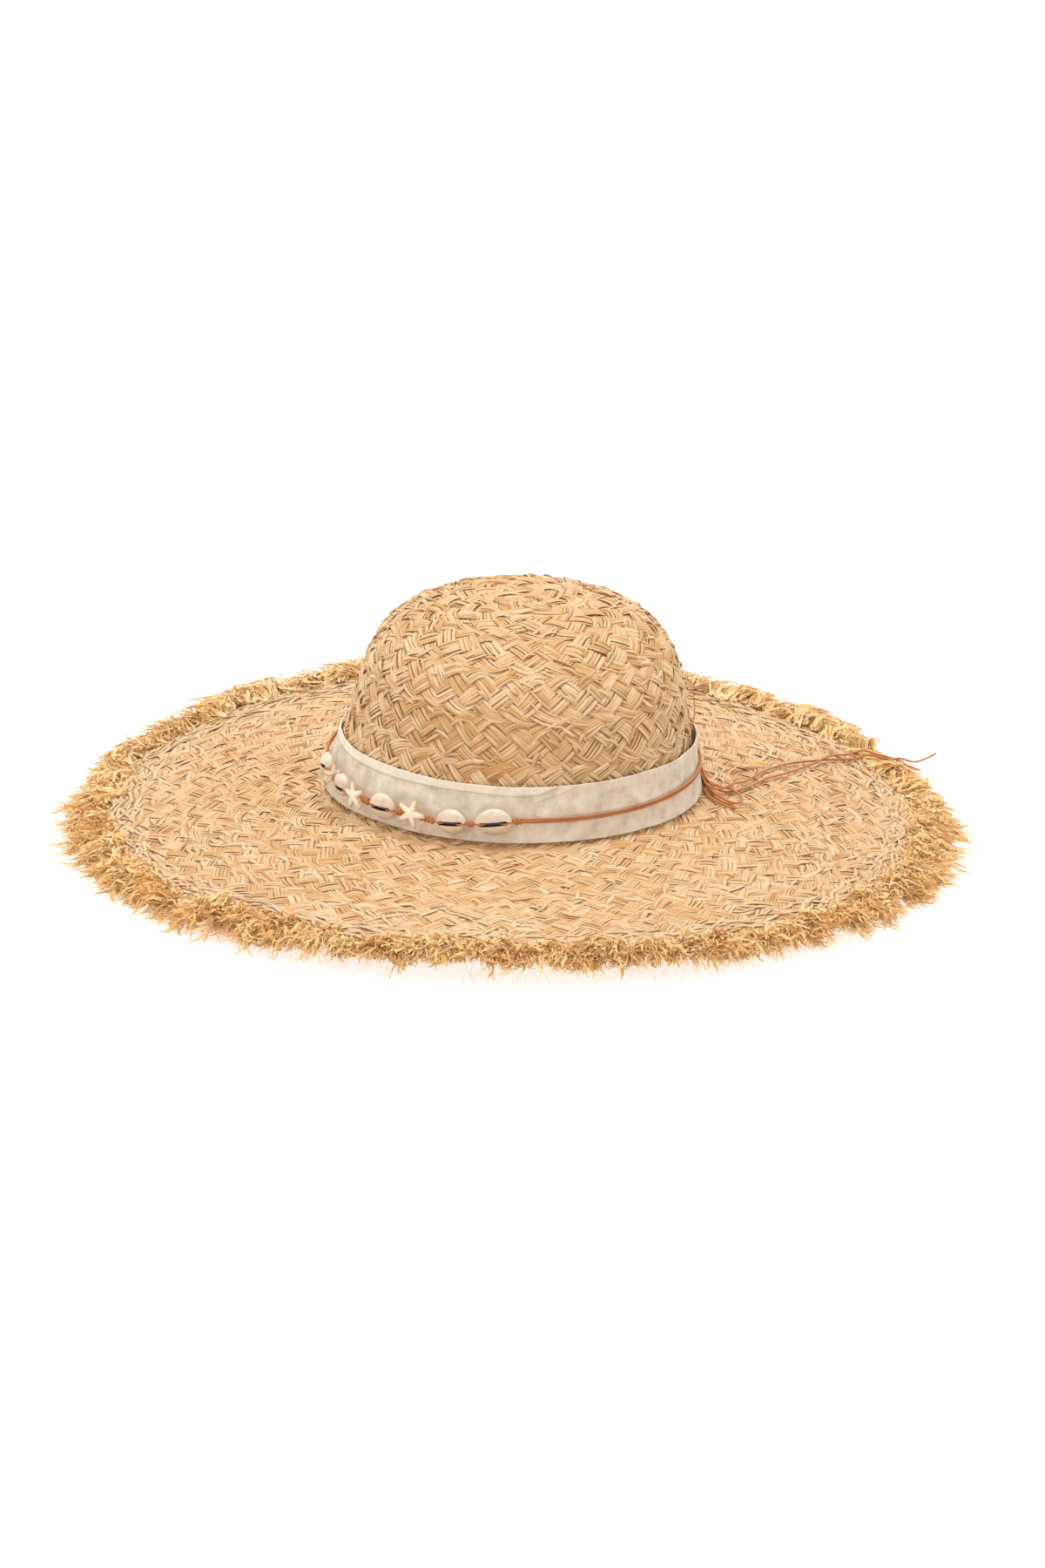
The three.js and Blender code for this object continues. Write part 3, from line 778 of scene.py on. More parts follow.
def bead_string():
    """Places of the beads, and the knots and cord between them."""
    middles = [on_string(p) for p in (FIRST_END, *BEADS, LAST_END)]
    corners, places = [], []
    for i, bead in enumerate(BEADS):
        along = unit(middles[i + 2] - middles[i])
        places.append((middles[i + 1], frame_at(middles[i + 1], along)))
        corners += [middles[i + 1] - bead["half"] * along, middles[i + 1] + bead["half"] * along]
    route = [middles[0], *corners, middles[-1]]
    for i in range(0, len(route), 2):
        a, b = route[i], route[i + 1]
        axes = frame_at((a + b) / 2, b - a)
        length = np.linalg.norm(b - a) - 2 * END_GAP
        node = f"knot_{i // 2 + 1}"
        cord_piece(node + "_turns", [put(r, (a + b) / 2, axes) for r in wound_knot(length)],
                   stands_for=[node], radius=0.6, lay=2.4, spacing=0.25, sides=8)
    route[0] = route[0] + 0.2 * (route[1] - route[0])
    route[-1] = route[-1] + 0.2 * (route[-2] - route[-1])
    cord_piece("bead_cord_line", [np.array(route)], stands_for=["bead_cord"])
    return places


places = bead_string()


def bow_knot():
    """The bow's knot: turns of cord wound over each other into one small lump."""
    a = math.radians(BOW_ANGLE)
    centre = knot_middle()
    axes = frame_at(centre, np.array([-math.sin(a), math.cos(a), 0]))
    t = np.linspace(0, 2 * np.pi, 40)
    rings = []
    for x, tilt, wide, high in ((-1.1, 0.12, 1.7, 1.9), (0.1, -0.15, 1.75, 1.95),
                                (1.2, 0.1, 1.6, 1.85)):
        rings.append(np.stack([x + tilt * 3 * np.sin(t), wide * np.cos(t), high * np.sin(t)], 1))
    cross = np.stack([2.0 * np.cos(t), -0.6 + 1.35 * np.sin(t), 1.3 * np.sin(t)], 1)
    core = np.stack([np.linspace(-2, 2, 12), np.zeros(12), 0.3 * np.sin(np.linspace(0, 3, 12))], 1)
    cord_piece("bow_knot_turns", [put(r, centre, axes) for r in (*rings, cross, core)],
               stands_for=["bow_knot"], lay=3.5, spacing=0.4, radius=0.62)


bow_knot()


def loose_ends():
    """A stray loop of thread at the crown's side and a broad golden strip on the brim."""
    loop = smooth_line([[r * math.cos(a), r * math.sin(a), FOOT_Z + z] for r, a, z in (
        (90.4, 0.2, 52), (91.8, 0.1, 48), (92.6, 0, 41), (92.3, -0.04, 36), (90.6, -0.06, 32))], 0.5)
    cord_piece("stray_loop", [loop], radius=0.35, lay=3, sides=8)
    line = smooth_line([[x, y, brim_top(x, y) + up] for x, y, up in (
        (112, 30, 0.8), (115, 35, 2.3), (120, 42, 2.7), (127, 49, 2.2), (132, 52, 0.8))], 1)[None]
    t = np.linspace(0, 1, line.shape[1])[None]
    half = 1.6 * np.sin(np.pi * t) ** 0.5 + 0.1
    up = np.broadcast_to(np.array([0, 0, 1.0]), line.shape)
    strip_piece("golden_strip", line, up, half, 0.25 + 0 * half, 0.5 * np.sin(5 * t), (6, 2),
                24 * t, 0.1 + 0 * half, 0.75 + 0 * half, FRINGE)


# ---- cowries and starfish ----


def cowrie(bead, place):
    """A cowrie with a domed lip on each side of its toothed mouth, sliced flat behind."""
    rows, columns = 200, 100
    half, deep, back, rise = bead["half"] - 0.1, 3.3, 2.2, 0.5 * bead["rise"]
    t = np.linspace(0, np.pi, rows)[:, None]
    x = -np.cos(t)
    girth = np.maximum(np.sin(t), 0) ** 1.25 * (1 + 0.06 * x)
    turn = np.linspace(-np.pi, np.pi, columns, endpoint=False)
    turn = (turn - 0.55 * np.sin(turn))[None]  # closer together round the mouth
    z = COWRIE_HEIGHT * bead["wide"] / 2 * girth * np.sin(turn)
    y = -deep * girth ** 0.8 * np.cos(turn)
    bulge = 0.2 * np.exp(-((z - 0.28 * bead["wide"]) / 2.2) ** 2) * girth
    bulge = bulge + 0.75 * np.exp(-((z + 0.3 * bead["wide"]) / 2) ** 2) * girth
    y = np.where(np.cos(turn) > 0, y - bulge, y)
    y = np.where(y > back, back + 0.12 * (y - back), y)
    # the mouth: a groove along the cord's line, with teeth on both lips
    line = -rise + 0.3 * np.sin(1.7 * x)
    away = np.where(np.cos(turn) > 0, np.abs(z - line), 9)
    opened = 1 - smoothstep(np.abs(x), 0.66, 0.86)
    lower = smoothstep(line - z, -0.1, 0.1)
    tooth = (0.5 + 0.5 * np.cos(2 * np.pi * x * half / 0.85)) * (0.25 + 0.75 * lower)
    reach = 0.16 + opened * (0.92 - 0.45 * tooth)
    groove = 1 - smoothstep(away, reach * 0.75, reach * 1.2 + 0.12)
    y = y + groove * (0.45 + 1.9 * opened) * girth ** 0.5
    ridges = tooth * opened * np.exp(-(np.maximum(0, away - reach) / 0.9) ** 2) * (1 - groove)
    y = y - 0.16 * ridges
    lips = np.exp(-((away - reach - 0.7) / 0.8) ** 2) * girth
    y = y - 0.22 * lips
    points = np.stack([np.broadcast_to(x * half, z.shape), y, z + rise], -1)
    c, s = math.cos(math.radians(bead["roll"])), math.sin(math.radians(bead["roll"]))
    rolled = np.array([[1, 0, 0], [0, c, s], [0, -s, c]])
    points = points @ rolled
    piece(bead["name"] + "_shell", put(points, *place), grid_quads(1, rows, columns, True),
          SHELL, {"mouth": groove * opened, "ridge": ridges}, body=bead["name"],
          stands_for=[bead["name"]])
    for end in (-1, 1):
        lie = np.array([[0.98 * half, -0.2, 0.1], [0.86 * half, -1.35, 0.05],
                        [0.7 * half, -2.15, 0], [0.5 * half, -1.9, 0], [0.36 * half, -0.8, 0]])
        lie[:, 0] *= end
        route = smooth_line(lie, 0.5) @ rolled
        cord_piece(f"{bead['name']}_cord_{'in' if end > 0 else 'out'}",
                   [put(route, *place)], body=bead["name"], radius=0.5)


def star_height(x, y, arms, wide):
    """Height of a starfish's face over its base, as a share of its ridge."""
    best = np.zeros(x.shape)
    for length, direction in arms:
        ax, ay = math.cos(direction), math.sin(direction)
        t = np.clip((x * ax + y * ay) / length, 0, 1)
        d = np.hypot(x - t * length * ax, y - t * length * ay)
        w = wide * (1 - 0.5 * t ** 0.6)
        ridge = np.sqrt(np.clip(1 - (d / w) ** 2, 0, 1)) ** 0.75 * (1 - 0.3 * t)
        best = np.maximum(best, ridge)
    return best


def starfish(bead, place, edge_on):
    """Five ridged arms of uneven length, with a softer dome behind."""
    random = np.random.default_rng(len(bead["name"]) + int(10 * bead["arm"]))
    wide, thick = 0.35 * bead["arm"], 1.6
    arms = [(bead["arm"] - 0.3 * wide - random.uniform(0, 0.8),
             math.radians(bead["turn"] + STAR_TURN + 72 * k + random.uniform(-4, 4)))
            for k in range(5)]
    columns, rows = 260, 22
    around = np.linspace(0, 2 * np.pi, columns, endpoint=False)
    far = np.linspace(0, bead["arm"] * 1.1, 240)[:, None]
    inside = star_height(far * np.cos(around), far * np.sin(around), arms, wide) > 1e-4
    rim = np.where(inside, far, 0).max(0)
    rim = np.convolve(np.concatenate([rim[-2:], rim, rim[:2]]), [0.1, 0.2, 0.4, 0.2, 0.1], "valid")
    share = np.sin(np.linspace(0, np.pi / 2, rows))[:, None]
    u, v = share * rim * np.cos(around), share * rim * np.sin(around)
    height = star_height(u, v, arms, wide) * (1 - share ** 6)
    bumps = 0.07 * patches(u + 50, v + 50, 0.55, 21)
    face = np.stack([u, v, thick * height + bumps * (1 - share ** 6)], -1)
    behind = np.stack([u, v, -0.75 * height], -1)[::-1]
    points = np.concatenate([face, behind[1:]])
    # behind, a lower level for more painted shade
    level = np.concatenate([height, 0.3 * height[::-1][1:]])
    if edge_on:
        points = points[..., [2, 0, 1]] * [0.8, 1, 1]
        points[..., 1] = np.minimum(points[..., 1], 2.9)
    else:
        points = points[..., [0, 2, 1]] * [1, -1, 1] + [0, -2.85, bead["lift"]]
    piece(bead["name"] + "_star", put(points, *place), grid_quads(1, len(points), columns, True),
          STARFISH, {"height": level}, body=bead["name"],
          stands_for=[bead["name"]])


for bead, place in zip(BEADS, places):
    if "arm" in bead:
        starfish(bead, place, edge_on=bead["half"] < 2)
    else:
        cowrie(bead, place)

# ---- the braid ----


def spiral():
    """The braid's way round the hat: angle, way along it, and its inner and outer edges as
    ways down from the crown's top."""
    turns_down = 2 * math.pi / ROW
    angle = np.arange(TURN_START - 1.8 * math.pi, TURN_START + STRAW_END * turns_down, 0.008)
    inner = np.clip((angle - TURN_START) / turns_down, 0, STRAW_END)
    outer = np.clip((angle - TURN_START) / turns_down + ROW, 0, STRAW_END)
    radius = along_straw((inner + outer) / 2, straw_middle[:, 0])
    step = np.maximum(radius, 3) * np.gradient(angle)
    return angle, np.cumsum(step) - step[0], inner, outer


def plait(s):
    """Centre lines of the plait's ends along the braid: place across the braid from -1 to 1,
    height from -1 to 1, and how gathered each is, from 0 in the middle to 1 at its fold."""
    phase = s[None] / TRAVERSE + 2 * np.arange(STRANDS)[:, None] / STRANDS
    shifted = phase + several(STRANDS, s, 17, 40) * 0.05
    keen = 0.5
    across = np.arcsin(keen * np.sin(np.pi * (shifted - 0.5))) / math.asin(keen)
    across = across + several(STRANDS, s, 11, 60) * 0.07
    u = (phase % 1) * STRANDS
    over = np.zeros(u.shape)
    for low, high, sign in ((0, 1.5, -1), (1.5, 2.5, 1), (2.5, 3.5, -1), (3.5, 5, 1)):
        part = np.clip((u - low) / (high - low), 0, 1)
        over += sign * np.sin(np.pi * part) ** 0.6 * ((u >= low) & (u < high))
    return across, over, np.minimum(1, np.abs(across)) ** 2.5


def several(count, x, wavelength, seed):
    return np.stack([wander(x, wavelength, seed + k) for k in range(count)])


def braid(name, start, end, stands_for):
    """A length of the braid as one piece: each end is a bundle of strips side by side."""
    angle, way, inner, outer = spiral()
    s = np.arange(start, end + SPACING, SPACING)
    angle, inner, outer = (np.interp(s, way, v) for v in (angle, inner, outer))
    scale = np.clip((outer - inner) / ROW, 0.12, 1)
    across, over, gathered = plait(s)
    down = (inner + outer) / 2 + (outer - inner - SEAM_IN * scale) / 2 * across
    flat = 1 - BRIM_FLATTER * smoothstep(inner, CROWN_END, CROWN_END + ROW)
    height = WEAVE * flat * over * (0.5 + 0.5 * scale) + 0.14 * several(STRANDS, s, 7, 80)
    centre, normal = on_straw(down, np.broadcast_to(angle, down.shape), height)
    side = unit(np.cross(unit(np.gradient(centre, axis=1)), normal))
    swell = several(STRANDS, s, 29, 100)
    half = END_HALF * scale * (1 + 0.12 * swell) * (1 - 0.36 * gathered)

    total = STRANDS * FIBRES
    place = np.linspace(-1, 1, FIBRES)
    drift = several(total, s, 24, 400).reshape(STRANDS, FIBRES, -1)
    at = (place[None, :, None] + 0.17 * drift) * (1 - FIBRE_HALF / END_HALF)
    proud = several(total, s, 12, 500).reshape(STRANDS, FIBRES, -1)
    lift = CROWNING * (1 - at ** 2) - 0.5 * CROWNING + 0.13 * proud
    centre = (centre[:, None] + side[:, None] * (half[:, None] * at)[..., None]
              + normal[:, None] * (lift * scale)[..., None])
    centre = centre.reshape(total, len(s), 3)
    normals = np.broadcast_to(normal[:, None], (STRANDS, FIBRES, len(s), 3)).reshape(centre.shape)
    breadth = 1 + 0.28 * several(total, s, 37, 600)
    ends = smoothstep(np.abs(wander_ends(s, total)), 0, 6)
    narrow = scale * np.repeat(1 - 0.3 * gathered, FIBRES, axis=0)
    fibre_half = FIBRE_HALF * breadth * narrow * (0.1 + 0.9 * ends)
    thick = FIBRE_THICK * (0.45 + 0.55 * scale) + 0 * fibre_half
    roll = 0.34 * several(total, s, 10, 700)
    points, q = straws(centre, normals, fibre_half, thick, roll, (4, 2))
    tint = (0.5 + 0.26 * np.repeat(several(STRANDS, s, 34, 140), FIBRES, axis=0)
            + 0.42 * several(total, s, 70, 800) + 0.16 * several(total, s, 9, 900))
    high = (height[:, None] + lift).reshape(total, len(s))
    # painted shade: lower in the weave and towards each strip's edges depth is smaller and the straw
    # darker; on the brim a little less
    depth = 0.4 + 0.42 * high[..., None] + 0.34 * np.sqrt(1 - q ** 2)
    depth = depth + 0.12 * (1 - flat)[:, None]
    piece(name, points, grid_quads(*q.shape, True), STRAW,
          {"straw": straw_values(q, s[None], tint), "depth": np.clip(depth, 0, 1)},
          stands_for=stands_for)


def wander_ends(s, count):
    """Way from each place along a strip to its nearest end."""
    length = STRIP_LENGTH + 60 * np.random.default_rng(3).uniform(-1, 1, (count, 1))
    start = STRIP_LENGTH * np.random.default_rng(4).uniform(0, 1, (count, 1))
    return (s[None] + start + length / 2) % length - length / 2


def sew_braid():
    """The whole braid, cut into pieces where the crown ends and at even lengths."""
    angle, way, inner, outer = spiral()
    foot = np.interp(CROWN_END, (inner + outer) / 2, way)
    for word, start, end, count in (("crown", 0, foot, 5), ("brim", foot, way[-1], 9)):
        cuts = np.linspace(start, end, count + 1)
        for k in range(count):
            braid(f"{word}_weave_{k + 1}", cuts[k], cuts[k + 1], [word + "_braid"])


sew_braid()


def core(name, start, end, rise, closed, stands_for):
    """The layer inside the braid that shows through its gaps, at a rise over the straw's
    middle. The higher closed is, the fewer openings it has."""
    angle = np.linspace(0, 2 * np.pi, 620)[:, None]
    down = np.arange(start, end, CORE_CELL)[None]
    height = 0.12 * patches(angle * 80, down, 4, 51) + rise
    points, _ = on_straw(down + 0 * angle, angle + 0 * down, height)
    quads = grid_quads(1, len(angle), down.shape[1], False)
    gaps = patches(angle * 60, down, 3.1, 52) + 0.6 * patches(angle * 60, down, 11, 53)
    opened = gaps > closed
    quads = quads[~opened.ravel()[quads].any(1)]
    straw = np.stack([down / 3 + 0 * angle, angle * 80 + 0 * down,
                      0.4 + 0.4 * patches(angle * 20, down, 6, 54)], -1)
    # depth 0.42 paints shade over the whole core, which shows only down in the braid's gaps
    piece(name, points, quads, STRAW, {"straw": straw, "depth": 0.42 + 0 * height},
          stands_for=stands_for)


core("crown_core", 1, CROWN_END, -0.1, 0.92, ["crown_braid"])
core("brim_core", CROWN_END, STRAW_END - 2, 0.15, 1.15, ["brim_braid"])


def strip_piece(name, centre, normal, half, thick, roll, sides, along, tint, depth, material,
                stands_for=()):
    """Many loose strips as one piece."""
    points, q = straws(centre, normal, half, thick, roll, sides)
    closed = sides[1] > 0
    points[..., 2] = np.maximum(points[..., 2], 0.05)
    depth = np.broadcast_to(np.clip(depth, 0, 1)[..., None], q.shape)
    piece(name, points, grid_quads(*q.shape, closed), material,
          {"straw": straw_values(q, along, tint), "depth": depth},
          stands_for=stands_for)


def loose_straws(name, count, low, high, seed, stands_for, lean=0.7, length=(5, 12), top=1.4,
                 wide=(0.6, 1.5), tint=(0.1, 1.0)):
    """Short pointed ends of straw that come up out of the weave between two ways down from
    the crown's top. lean is their usual turn from the braid's own direction."""
    random = np.random.default_rng(seed)
    count = int(count * FULLNESS)
    t = np.linspace(0, 1, 8)[None]
    r_low, r_high = along_straw([low, high], straw_middle[:, 0])
    radius = np.sqrt(random.uniform(r_low ** 2, r_high ** 2, (count, 1)))
    down = low + (high - low) * (radius - r_low) / (r_high - r_low)
    angle = random.uniform(0, 2 * np.pi, (count, 1))
    long = random.uniform(*length, (count, 1))
    turn = random.choice([-1, 1], (count, 1)) * lean + random.normal(0, 0.25, (count, 1))
    bend = turn + random.normal(0, 0.4, (count, 1)) * (t - 0.5)
    along = long * (t - 0.5) * np.cos(bend)
    across = long * (t - 0.5) * np.sin(bend)
    height = -0.6 + random.uniform(0.75, 1.2, (count, 1)) * (top + 0.6) * np.sin(np.pi * t) ** 0.55
    centre, normal = on_straw(np.minimum(down + across, STRAW_END + 2),
                              angle + along / radius, height)
    half = random.uniform(*wide, (count, 1)) * (0.12 + 0.88 * np.sin(np.pi * t) ** 0.6)
    thick = 0.2 + 0.12 * np.sin(np.pi * t) + 0 * half
    tints = random.uniform(*tint, (count, 1)) + 0 * half
    # the depth argument paints shade towards each straw's ends, where it dips into the weave
    strip_piece(name, centre, normal, half, thick, random.normal(0, 0.2, (count, 1)), (3, 1),
                long * t, tints, 0.55 + 0.4 * np.sin(np.pi * t) + 0 * half, STRAW, stands_for)


loose_straws("crown_ends", 420, 40, 130, 5, ["crown_braid"], length=(6, 14))
loose_straws("brim_ends_inner", 320, CROWN_END + 6, down_to(165), 6, ["brim_braid"], top=0.8,
             wide=(1.3, 2.3), length=(6, 13), tint=(0.5, 1.1))
loose_straws("brim_ends_outer", 560, down_to(155), down_to(202), 7, ["brim_braid"], lean=0.45,
             length=(9, 20), top=0.75, wide=(1.2, 2.4), tint=(0.45, 1.1))

# ---- the brim's edge ----

loose_straws("rim_straws", 1100, down_to(194), STRAW_END, 8, ["fringe_heading"], lean=0.2,
             length=(10, 26), top=1.0, wide=(0.9, 1.9), tint=(0.5, 1.1))


def under_tails(x, y, z):
    """Height of a fibre, pressed down where the cord's tails lie over the brim's edge."""
    near = np.abs(np.degrees(np.arctan2(y, x)) - TAILS_ANGLE) < TAILS_HALF_ANGLE
    return np.where(near, np.minimum(z, brim_top(x, y) + 0.3), z)


def fringe(name, start, end, seed):
    """A length of the frayed fringe: tufts of crimped strips, each tuft with a lie of its
    own, that curl out of the braid's last turn."""
    random = np.random.default_rng(seed)
    tufts = int(TUFTS * FULLNESS)
    count, rows = tufts * TUFT_STRIPS, 10
    t = np.linspace(0, 1, rows)[None]

    def per_tuft(values):
        return np.repeat(values, TUFT_STRIPS)[:, None]

    place = np.linspace(start, end, tufts, endpoint=False) + random.normal(0, 0.008, tufts)
    layer = per_tuft(random.uniform(0, 1, tufts))
    angle = per_tuft(place) + random.normal(0, 0.011, (count, 1))
    radius = per_tuft(random.uniform(*TUFT_ROOTS, tufts)) + random.normal(0, 1.6, (count, 1))
    heading = per_tuft(random.normal(0, 0.45, tufts)) + random.normal(0, 0.3, (count, 1))
    front = hill(angle, 1.5 * math.pi, 0.95)
    back = hill(angle, math.pi / 2, 1.1)
    rise = (per_tuft(random.normal(0.02, 0.34, tufts)) - 0.35 * (layer - 0.3)
            + random.normal(0, 0.3, (count, 1)) + 0.2 * back)
    long = per_tuft(random.uniform(*TUFT_LENGTHS, tufts)) * random.uniform(0.5, 1.05, (count, 1))
    long = long * (1 - 0.45 * front - 0.1 * back)
    radius = radius - 1.5 * front + 2 * back
    curl = 1 - 0.8 * back
    turning = per_tuft(random.normal(0, 0.035, tufts)) + random.normal(0, 0.05, (count, 1)) * curl
    curling = (per_tuft(random.normal(-0.02, 0.045, tufts))
               + random.normal(0, 0.045, (count, 1))) * curl
    wave, phase = (random.uniform(*span, (count, 1)) for span in ((4, 9), (0, 2 * np.pi)))
    crimp = random.uniform(0.1, 0.75, (count, 1)) * curl
    way = long * t
    side = heading + turning * way + crimp * np.sin(2 * np.pi * way / wave + phase)
    up = rise + curling * way + 0.8 * crimp * np.cos(2 * np.pi * way / wave * 0.83 + 2 * phase)
    step = long / (rows - 1)

    def walked(direction):
        total = np.cumsum(direction * step, axis=1)
        return total - total[:, :1]

    out = walked(np.cos(up) * np.cos(side))
    across = walked(np.cos(up) * np.sin(side))
    r = np.minimum(radius + out, FRINGE_R + 5 + random.normal(0, 1.5, (count, 1)))
    angle = angle + across / r
    x, y = r * np.cos(angle), r * np.sin(angle)
    start_z = 1.1 - 3.3 * layer + random.normal(0, 0.5, (count, 1))
    z = brim_top(x, y) + start_z + np.clip(walked(np.sin(up)), -5, 5.5 + back)
    z = under_tails(x, y, np.maximum(z, 0.25 + random.uniform(0, 1.2, (count, 1))))
    half = random.choice(STRIP_HALVES, (count, 1), p=[0.3, 0.4, 0.3])
    half = half * random.uniform(0.75, 1.3, (count, 1)) * (1 - 0.8 * t ** 2.2)
    roll = random.uniform(-1.3, 1.3, (count, 1)) + random.normal(0, 1.2, (count, 1)) * t
    normal = np.broadcast_to(np.array([0, 0, 1.0]), (count, rows, 3))
    tint = per_tuft(random.uniform(0.2, 0.75, tufts)) + random.normal(0, 0.22, (count, 1))
    tint = tint + 0.35 * back
    # painted shade on the lower layers and at the tufts' roots, and painted light on the back's
    # tufts, which stand in their own shade
    depth = 0.85 - 0.5 * layer + 0.35 * t + 0.3 * back + random.normal(0, 0.12, (count, 1))
    strip_piece(name, np.stack([x, y, z], -1), normal, half, 0.22 * half + 0.05, roll, (3, 0), way,
                tint + 0.4 * (1 - t) ** 2, depth, FRINGE, ["brim_fringe"])


def wisps():
    """Stray fibres that stick out past the fringe."""
    random = np.random.default_rng(77)
    count = int(1500 * FULLNESS)
    t = np.linspace(0, 1, 9)[None]
    root = random.uniform(0, 2 * np.pi, (count, 1))
    inner = random.uniform(218, 233, (count, 1))
    length = random.uniform(5, 15, (count, 1))
    lean = random.normal(0, 0.6, (count, 1))
    bend = random.normal(0, 0.9, (count, 1)) * t
    radius = inner + length * t * np.cos(lean + bend)
    angle = root + length * t * np.sin(lean + bend) / radius
    x, y = radius * np.cos(angle), radius * np.sin(angle)
    lift = random.normal(0.5, 2.6, (count, 1)) * t ** 1.4
    z = np.maximum(0.2, brim_top(x, y) - random.uniform(0, 1.5, (count, 1)) + lift)
    z = under_tails(x, y, z)
    half = random.uniform(0.1, 0.2, (count, 1)) * (1 - 0.7 * t)
    up = np.broadcast_to(np.array([0, 0, 1.0]), (count, 9, 3))
    tint = random.uniform(0.3, 1, (count, 1)) + 0 * half
    strip_piece("wisps", np.stack([x, y, z], -1), up, half, 0.6 * half, 0 * half, (3, 1),
                length * t, tint, 0.9 + 0 * half, FRINGE)


loose_ends()
for k in range(FRINGE_PARTS):
    part = 2 * math.pi / FRINGE_PARTS
    fringe(f"fringe_{k + 1}", (k - 0.5) * part, (k + 0.5) * part, 30 + k)
wisps()

# ---- linen band and sweatband ----


def slack(angle, z, wavelength, seed):
    """A smooth random value from -1 to 1 over a cloth that goes round the crown."""
    return patches(angle * FOOT_R, z, wavelength, seed, around=2 * np.pi * FOOT_R)


def ring_cloth(name, outer, heights, thick, material, node, folded=None, count=480):
    """A closed ring of cloth: outer(angle, z) gives its outer face's radius, and folded(angle,
    z), from 0 to 1, says where it is a folded-over edge."""
    angle = np.linspace(-np.pi, np.pi, count, endpoint=False)[:, None]
    z = heights(angle)
    face = outer(angle, z)
    hem = np.linspace(0, np.pi, 7)[1:-1]
    top_r = face[:, -1:] - thick / 2 + thick / 2 * np.cos(hem)
    top_z = z[:, -1:] + thick / 2 * np.sin(hem)
    low_r = face[:, :1] - thick / 2 - thick / 2 * np.cos(hem)
    low_z = z[:, :1] - thick / 2 * np.sin(hem)
    r = np.concatenate([face, top_r, face[:, ::-1] - thick, low_r], 1)
    zz = np.concatenate([z, top_z, z[:, ::-1], low_z], 1)
    height = FOOT_Z + zz + saddle(FOOT_R, angle, zz)
    points = np.stack([r * np.cos(angle) + lean(zz), r * np.sin(angle), height], -1)
    columns = r.shape[1]
    quads = grid_quads(1, count + 1, columns, True) % (count * columns)
    fold = 0 * r if folded is None else folded(angle, zz) + 0 * r
    cloth = np.stack([np.broadcast_to(angle * FOOT_R, r.shape), zz, fold], -1)
    return piece(name, points, quads[:, ::-1], material, {"cloth": cloth},
                 stands_for=[node])


def linen_band():
    """The band's folded top edge runs out in a slanting crease at the front."""
    fold_wide, fold_t = 4.4, 0.6

    def heights(angle):
        share = np.linspace(0, 1, 84)[None]
        low = BAND_LOW + 0.45 + 0.25 * slack(angle, 0, 31, 11)
        high = BAND_HIGH - 0.35 + 0.3 * slack(angle, 9, 37, 12)
        return low + (high - low) * share

    def folded(angle, z):
        shown = 1 - smoothstep(np.degrees(angle), -84, -74)
        edge = BAND_HIGH + 0.4 - (fold_wide + 0.4) * shown
        edge = edge + 0.4 * slack(angle, 5, 22, 13)
        return smoothstep(z, edge - 0.2, edge + 0.2)

    def outer(angle, z):
        crease = 22.6 + (np.degrees(angle) + 81) * 0.54
        near = smoothstep(np.degrees(angle), -86, -80) * smoothstep(-np.degrees(angle), 62, 70)
        slant = 0.6 * near * smoothstep(z, crease - 0.35, crease + 0.3) * np.exp(
            -np.maximum(0, z - crease) / 3.5)
        soft = 0.34 * slack(angle, z + 40, 17, 14)
        sag = soft * smoothstep(z, 2, 9) + 0.16 * slack(angle, z + 90, 5, 15)
        drawn_in = (1.6 - np.cos(angle)) * smoothstep(z, 12, BAND_HIGH)
        fit = 0.6 - 0.3 * smoothstep(z, 0, 8) - drawn_in
        return band_radius(z) - fold_t + fold_t * folded(angle, z) + slant + sag + fit

    made = ring_cloth("linen_cloth", outer, heights, 0.65, LINEN, "linen_band",
                      folded=folded)


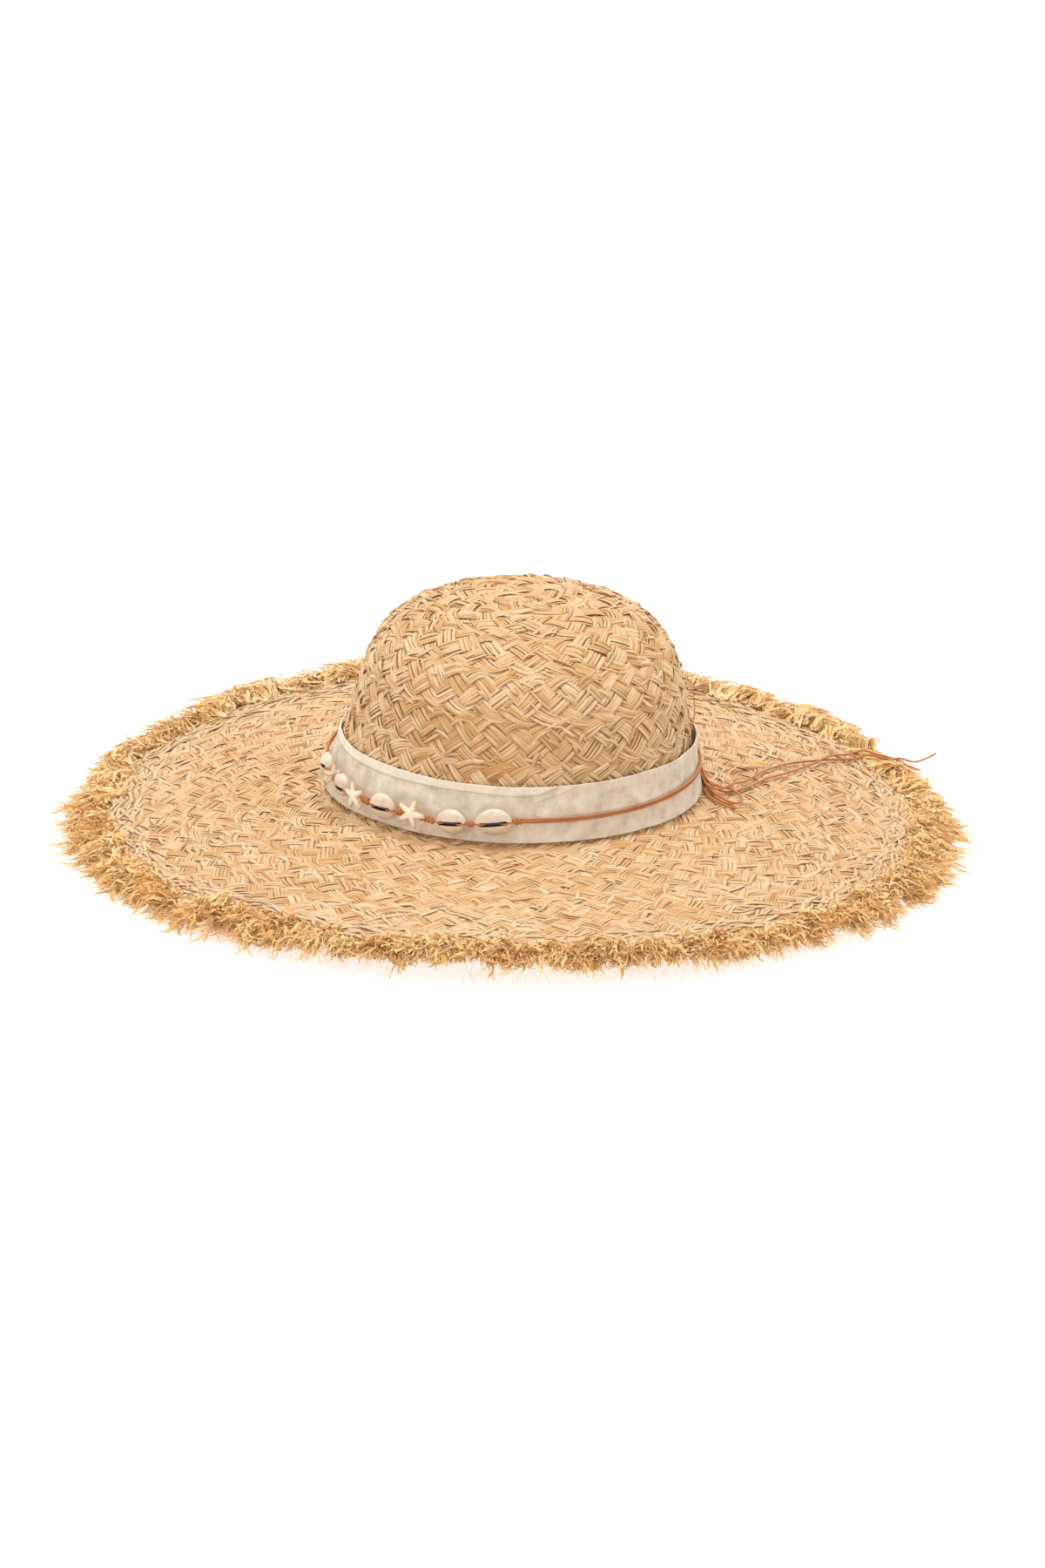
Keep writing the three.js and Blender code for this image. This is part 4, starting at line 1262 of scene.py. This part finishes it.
def sweatband():
    def heights(angle):
        return np.linspace(-1 + 0.5, SWEATBAND_H - 0.5, 30)[None] + 0 * angle

    def outer(angle, z):
        return sweatband_radius(z) - 0.12 - 0.1 * (1 + slack(angle, z + 20, 14, 16))

    made = ring_cloth("sweatband_cloth", outer, heights, 0.8, COTTON, "sweatband")


def sweatband_stitches():
    """Slanting stitches round the head opening, under the sweatband's foot."""
    count = 188
    r = sweatband_radius(0) - SWEATBAND_T / 2
    t = np.linspace(-0.5, 0.5, 7)
    routes = []
    for k in range(count):
        angle = 2 * np.pi * (k + t * 0.8) / count
        rise = -0.35 + 0.45 * t - 0.5 * (1 - (2 * t) ** 2) * 0.2
        routes.append(np.stack([r * np.cos(angle), r * np.sin(angle),
                                FOOT_Z - 1 - GAP + rise], 1))
    cord_piece("sweatband_stitches", routes, stands_for=["sweatband_thread"], radius=0.3,
               material=THREAD, spacing=0.4, sides=6, lay=2)


linen_band()
sweatband()
sweatband_stitches()

# ---- studio ----


def area_light(name, place, size, power, colour=(1, 1, 1)):
    data = bpy.data.lights.new(name, "AREA")
    data.shape = "DISK"
    data.size = size
    data.energy = power
    data.color = colour
    lamp = bpy.data.objects.new(name, data)
    bpy.context.scene.collection.objects.link(lamp)
    lamp.location = place
    lamp.rotation_euler = (Vector((0, 0, 0.05)) - Vector(place)).to_track_quat("-Z", "Y").to_euler()


def studio():
    """A pale floor, white surroundings and two large soft lights from above."""
    mesh = bpy.data.meshes.new("floor")
    reach = 6
    mesh.from_pydata([(-reach, -reach, 0), (reach, -reach, 0), (reach, reach, 0),
                      (-reach, reach, 0)], [], [(0, 1, 2, 3)])
    mesh.materials.append(studio_white("studio_white"))
    floor = bpy.data.objects.new("floor", mesh)
    bpy.context.scene.collection.objects.link(floor)
    floor.location.z = -0.0004
    world = bpy.data.worlds.new("studio")
    bpy.context.scene.world = world
    world.use_nodes = True
    world.node_tree.nodes["Background"].inputs[0].default_value = (1, 1, 1, 1)
    world.node_tree.nodes["Background"].inputs[1].default_value = 1.0
    area_light("key", (-0.7, -0.5, 2.3), 1.2, 14)
    area_light("top", (0.1, 0.3, 2.4), 1.4, 36)
    bpy.context.scene.view_settings.view_transform = "Standard"


studio()
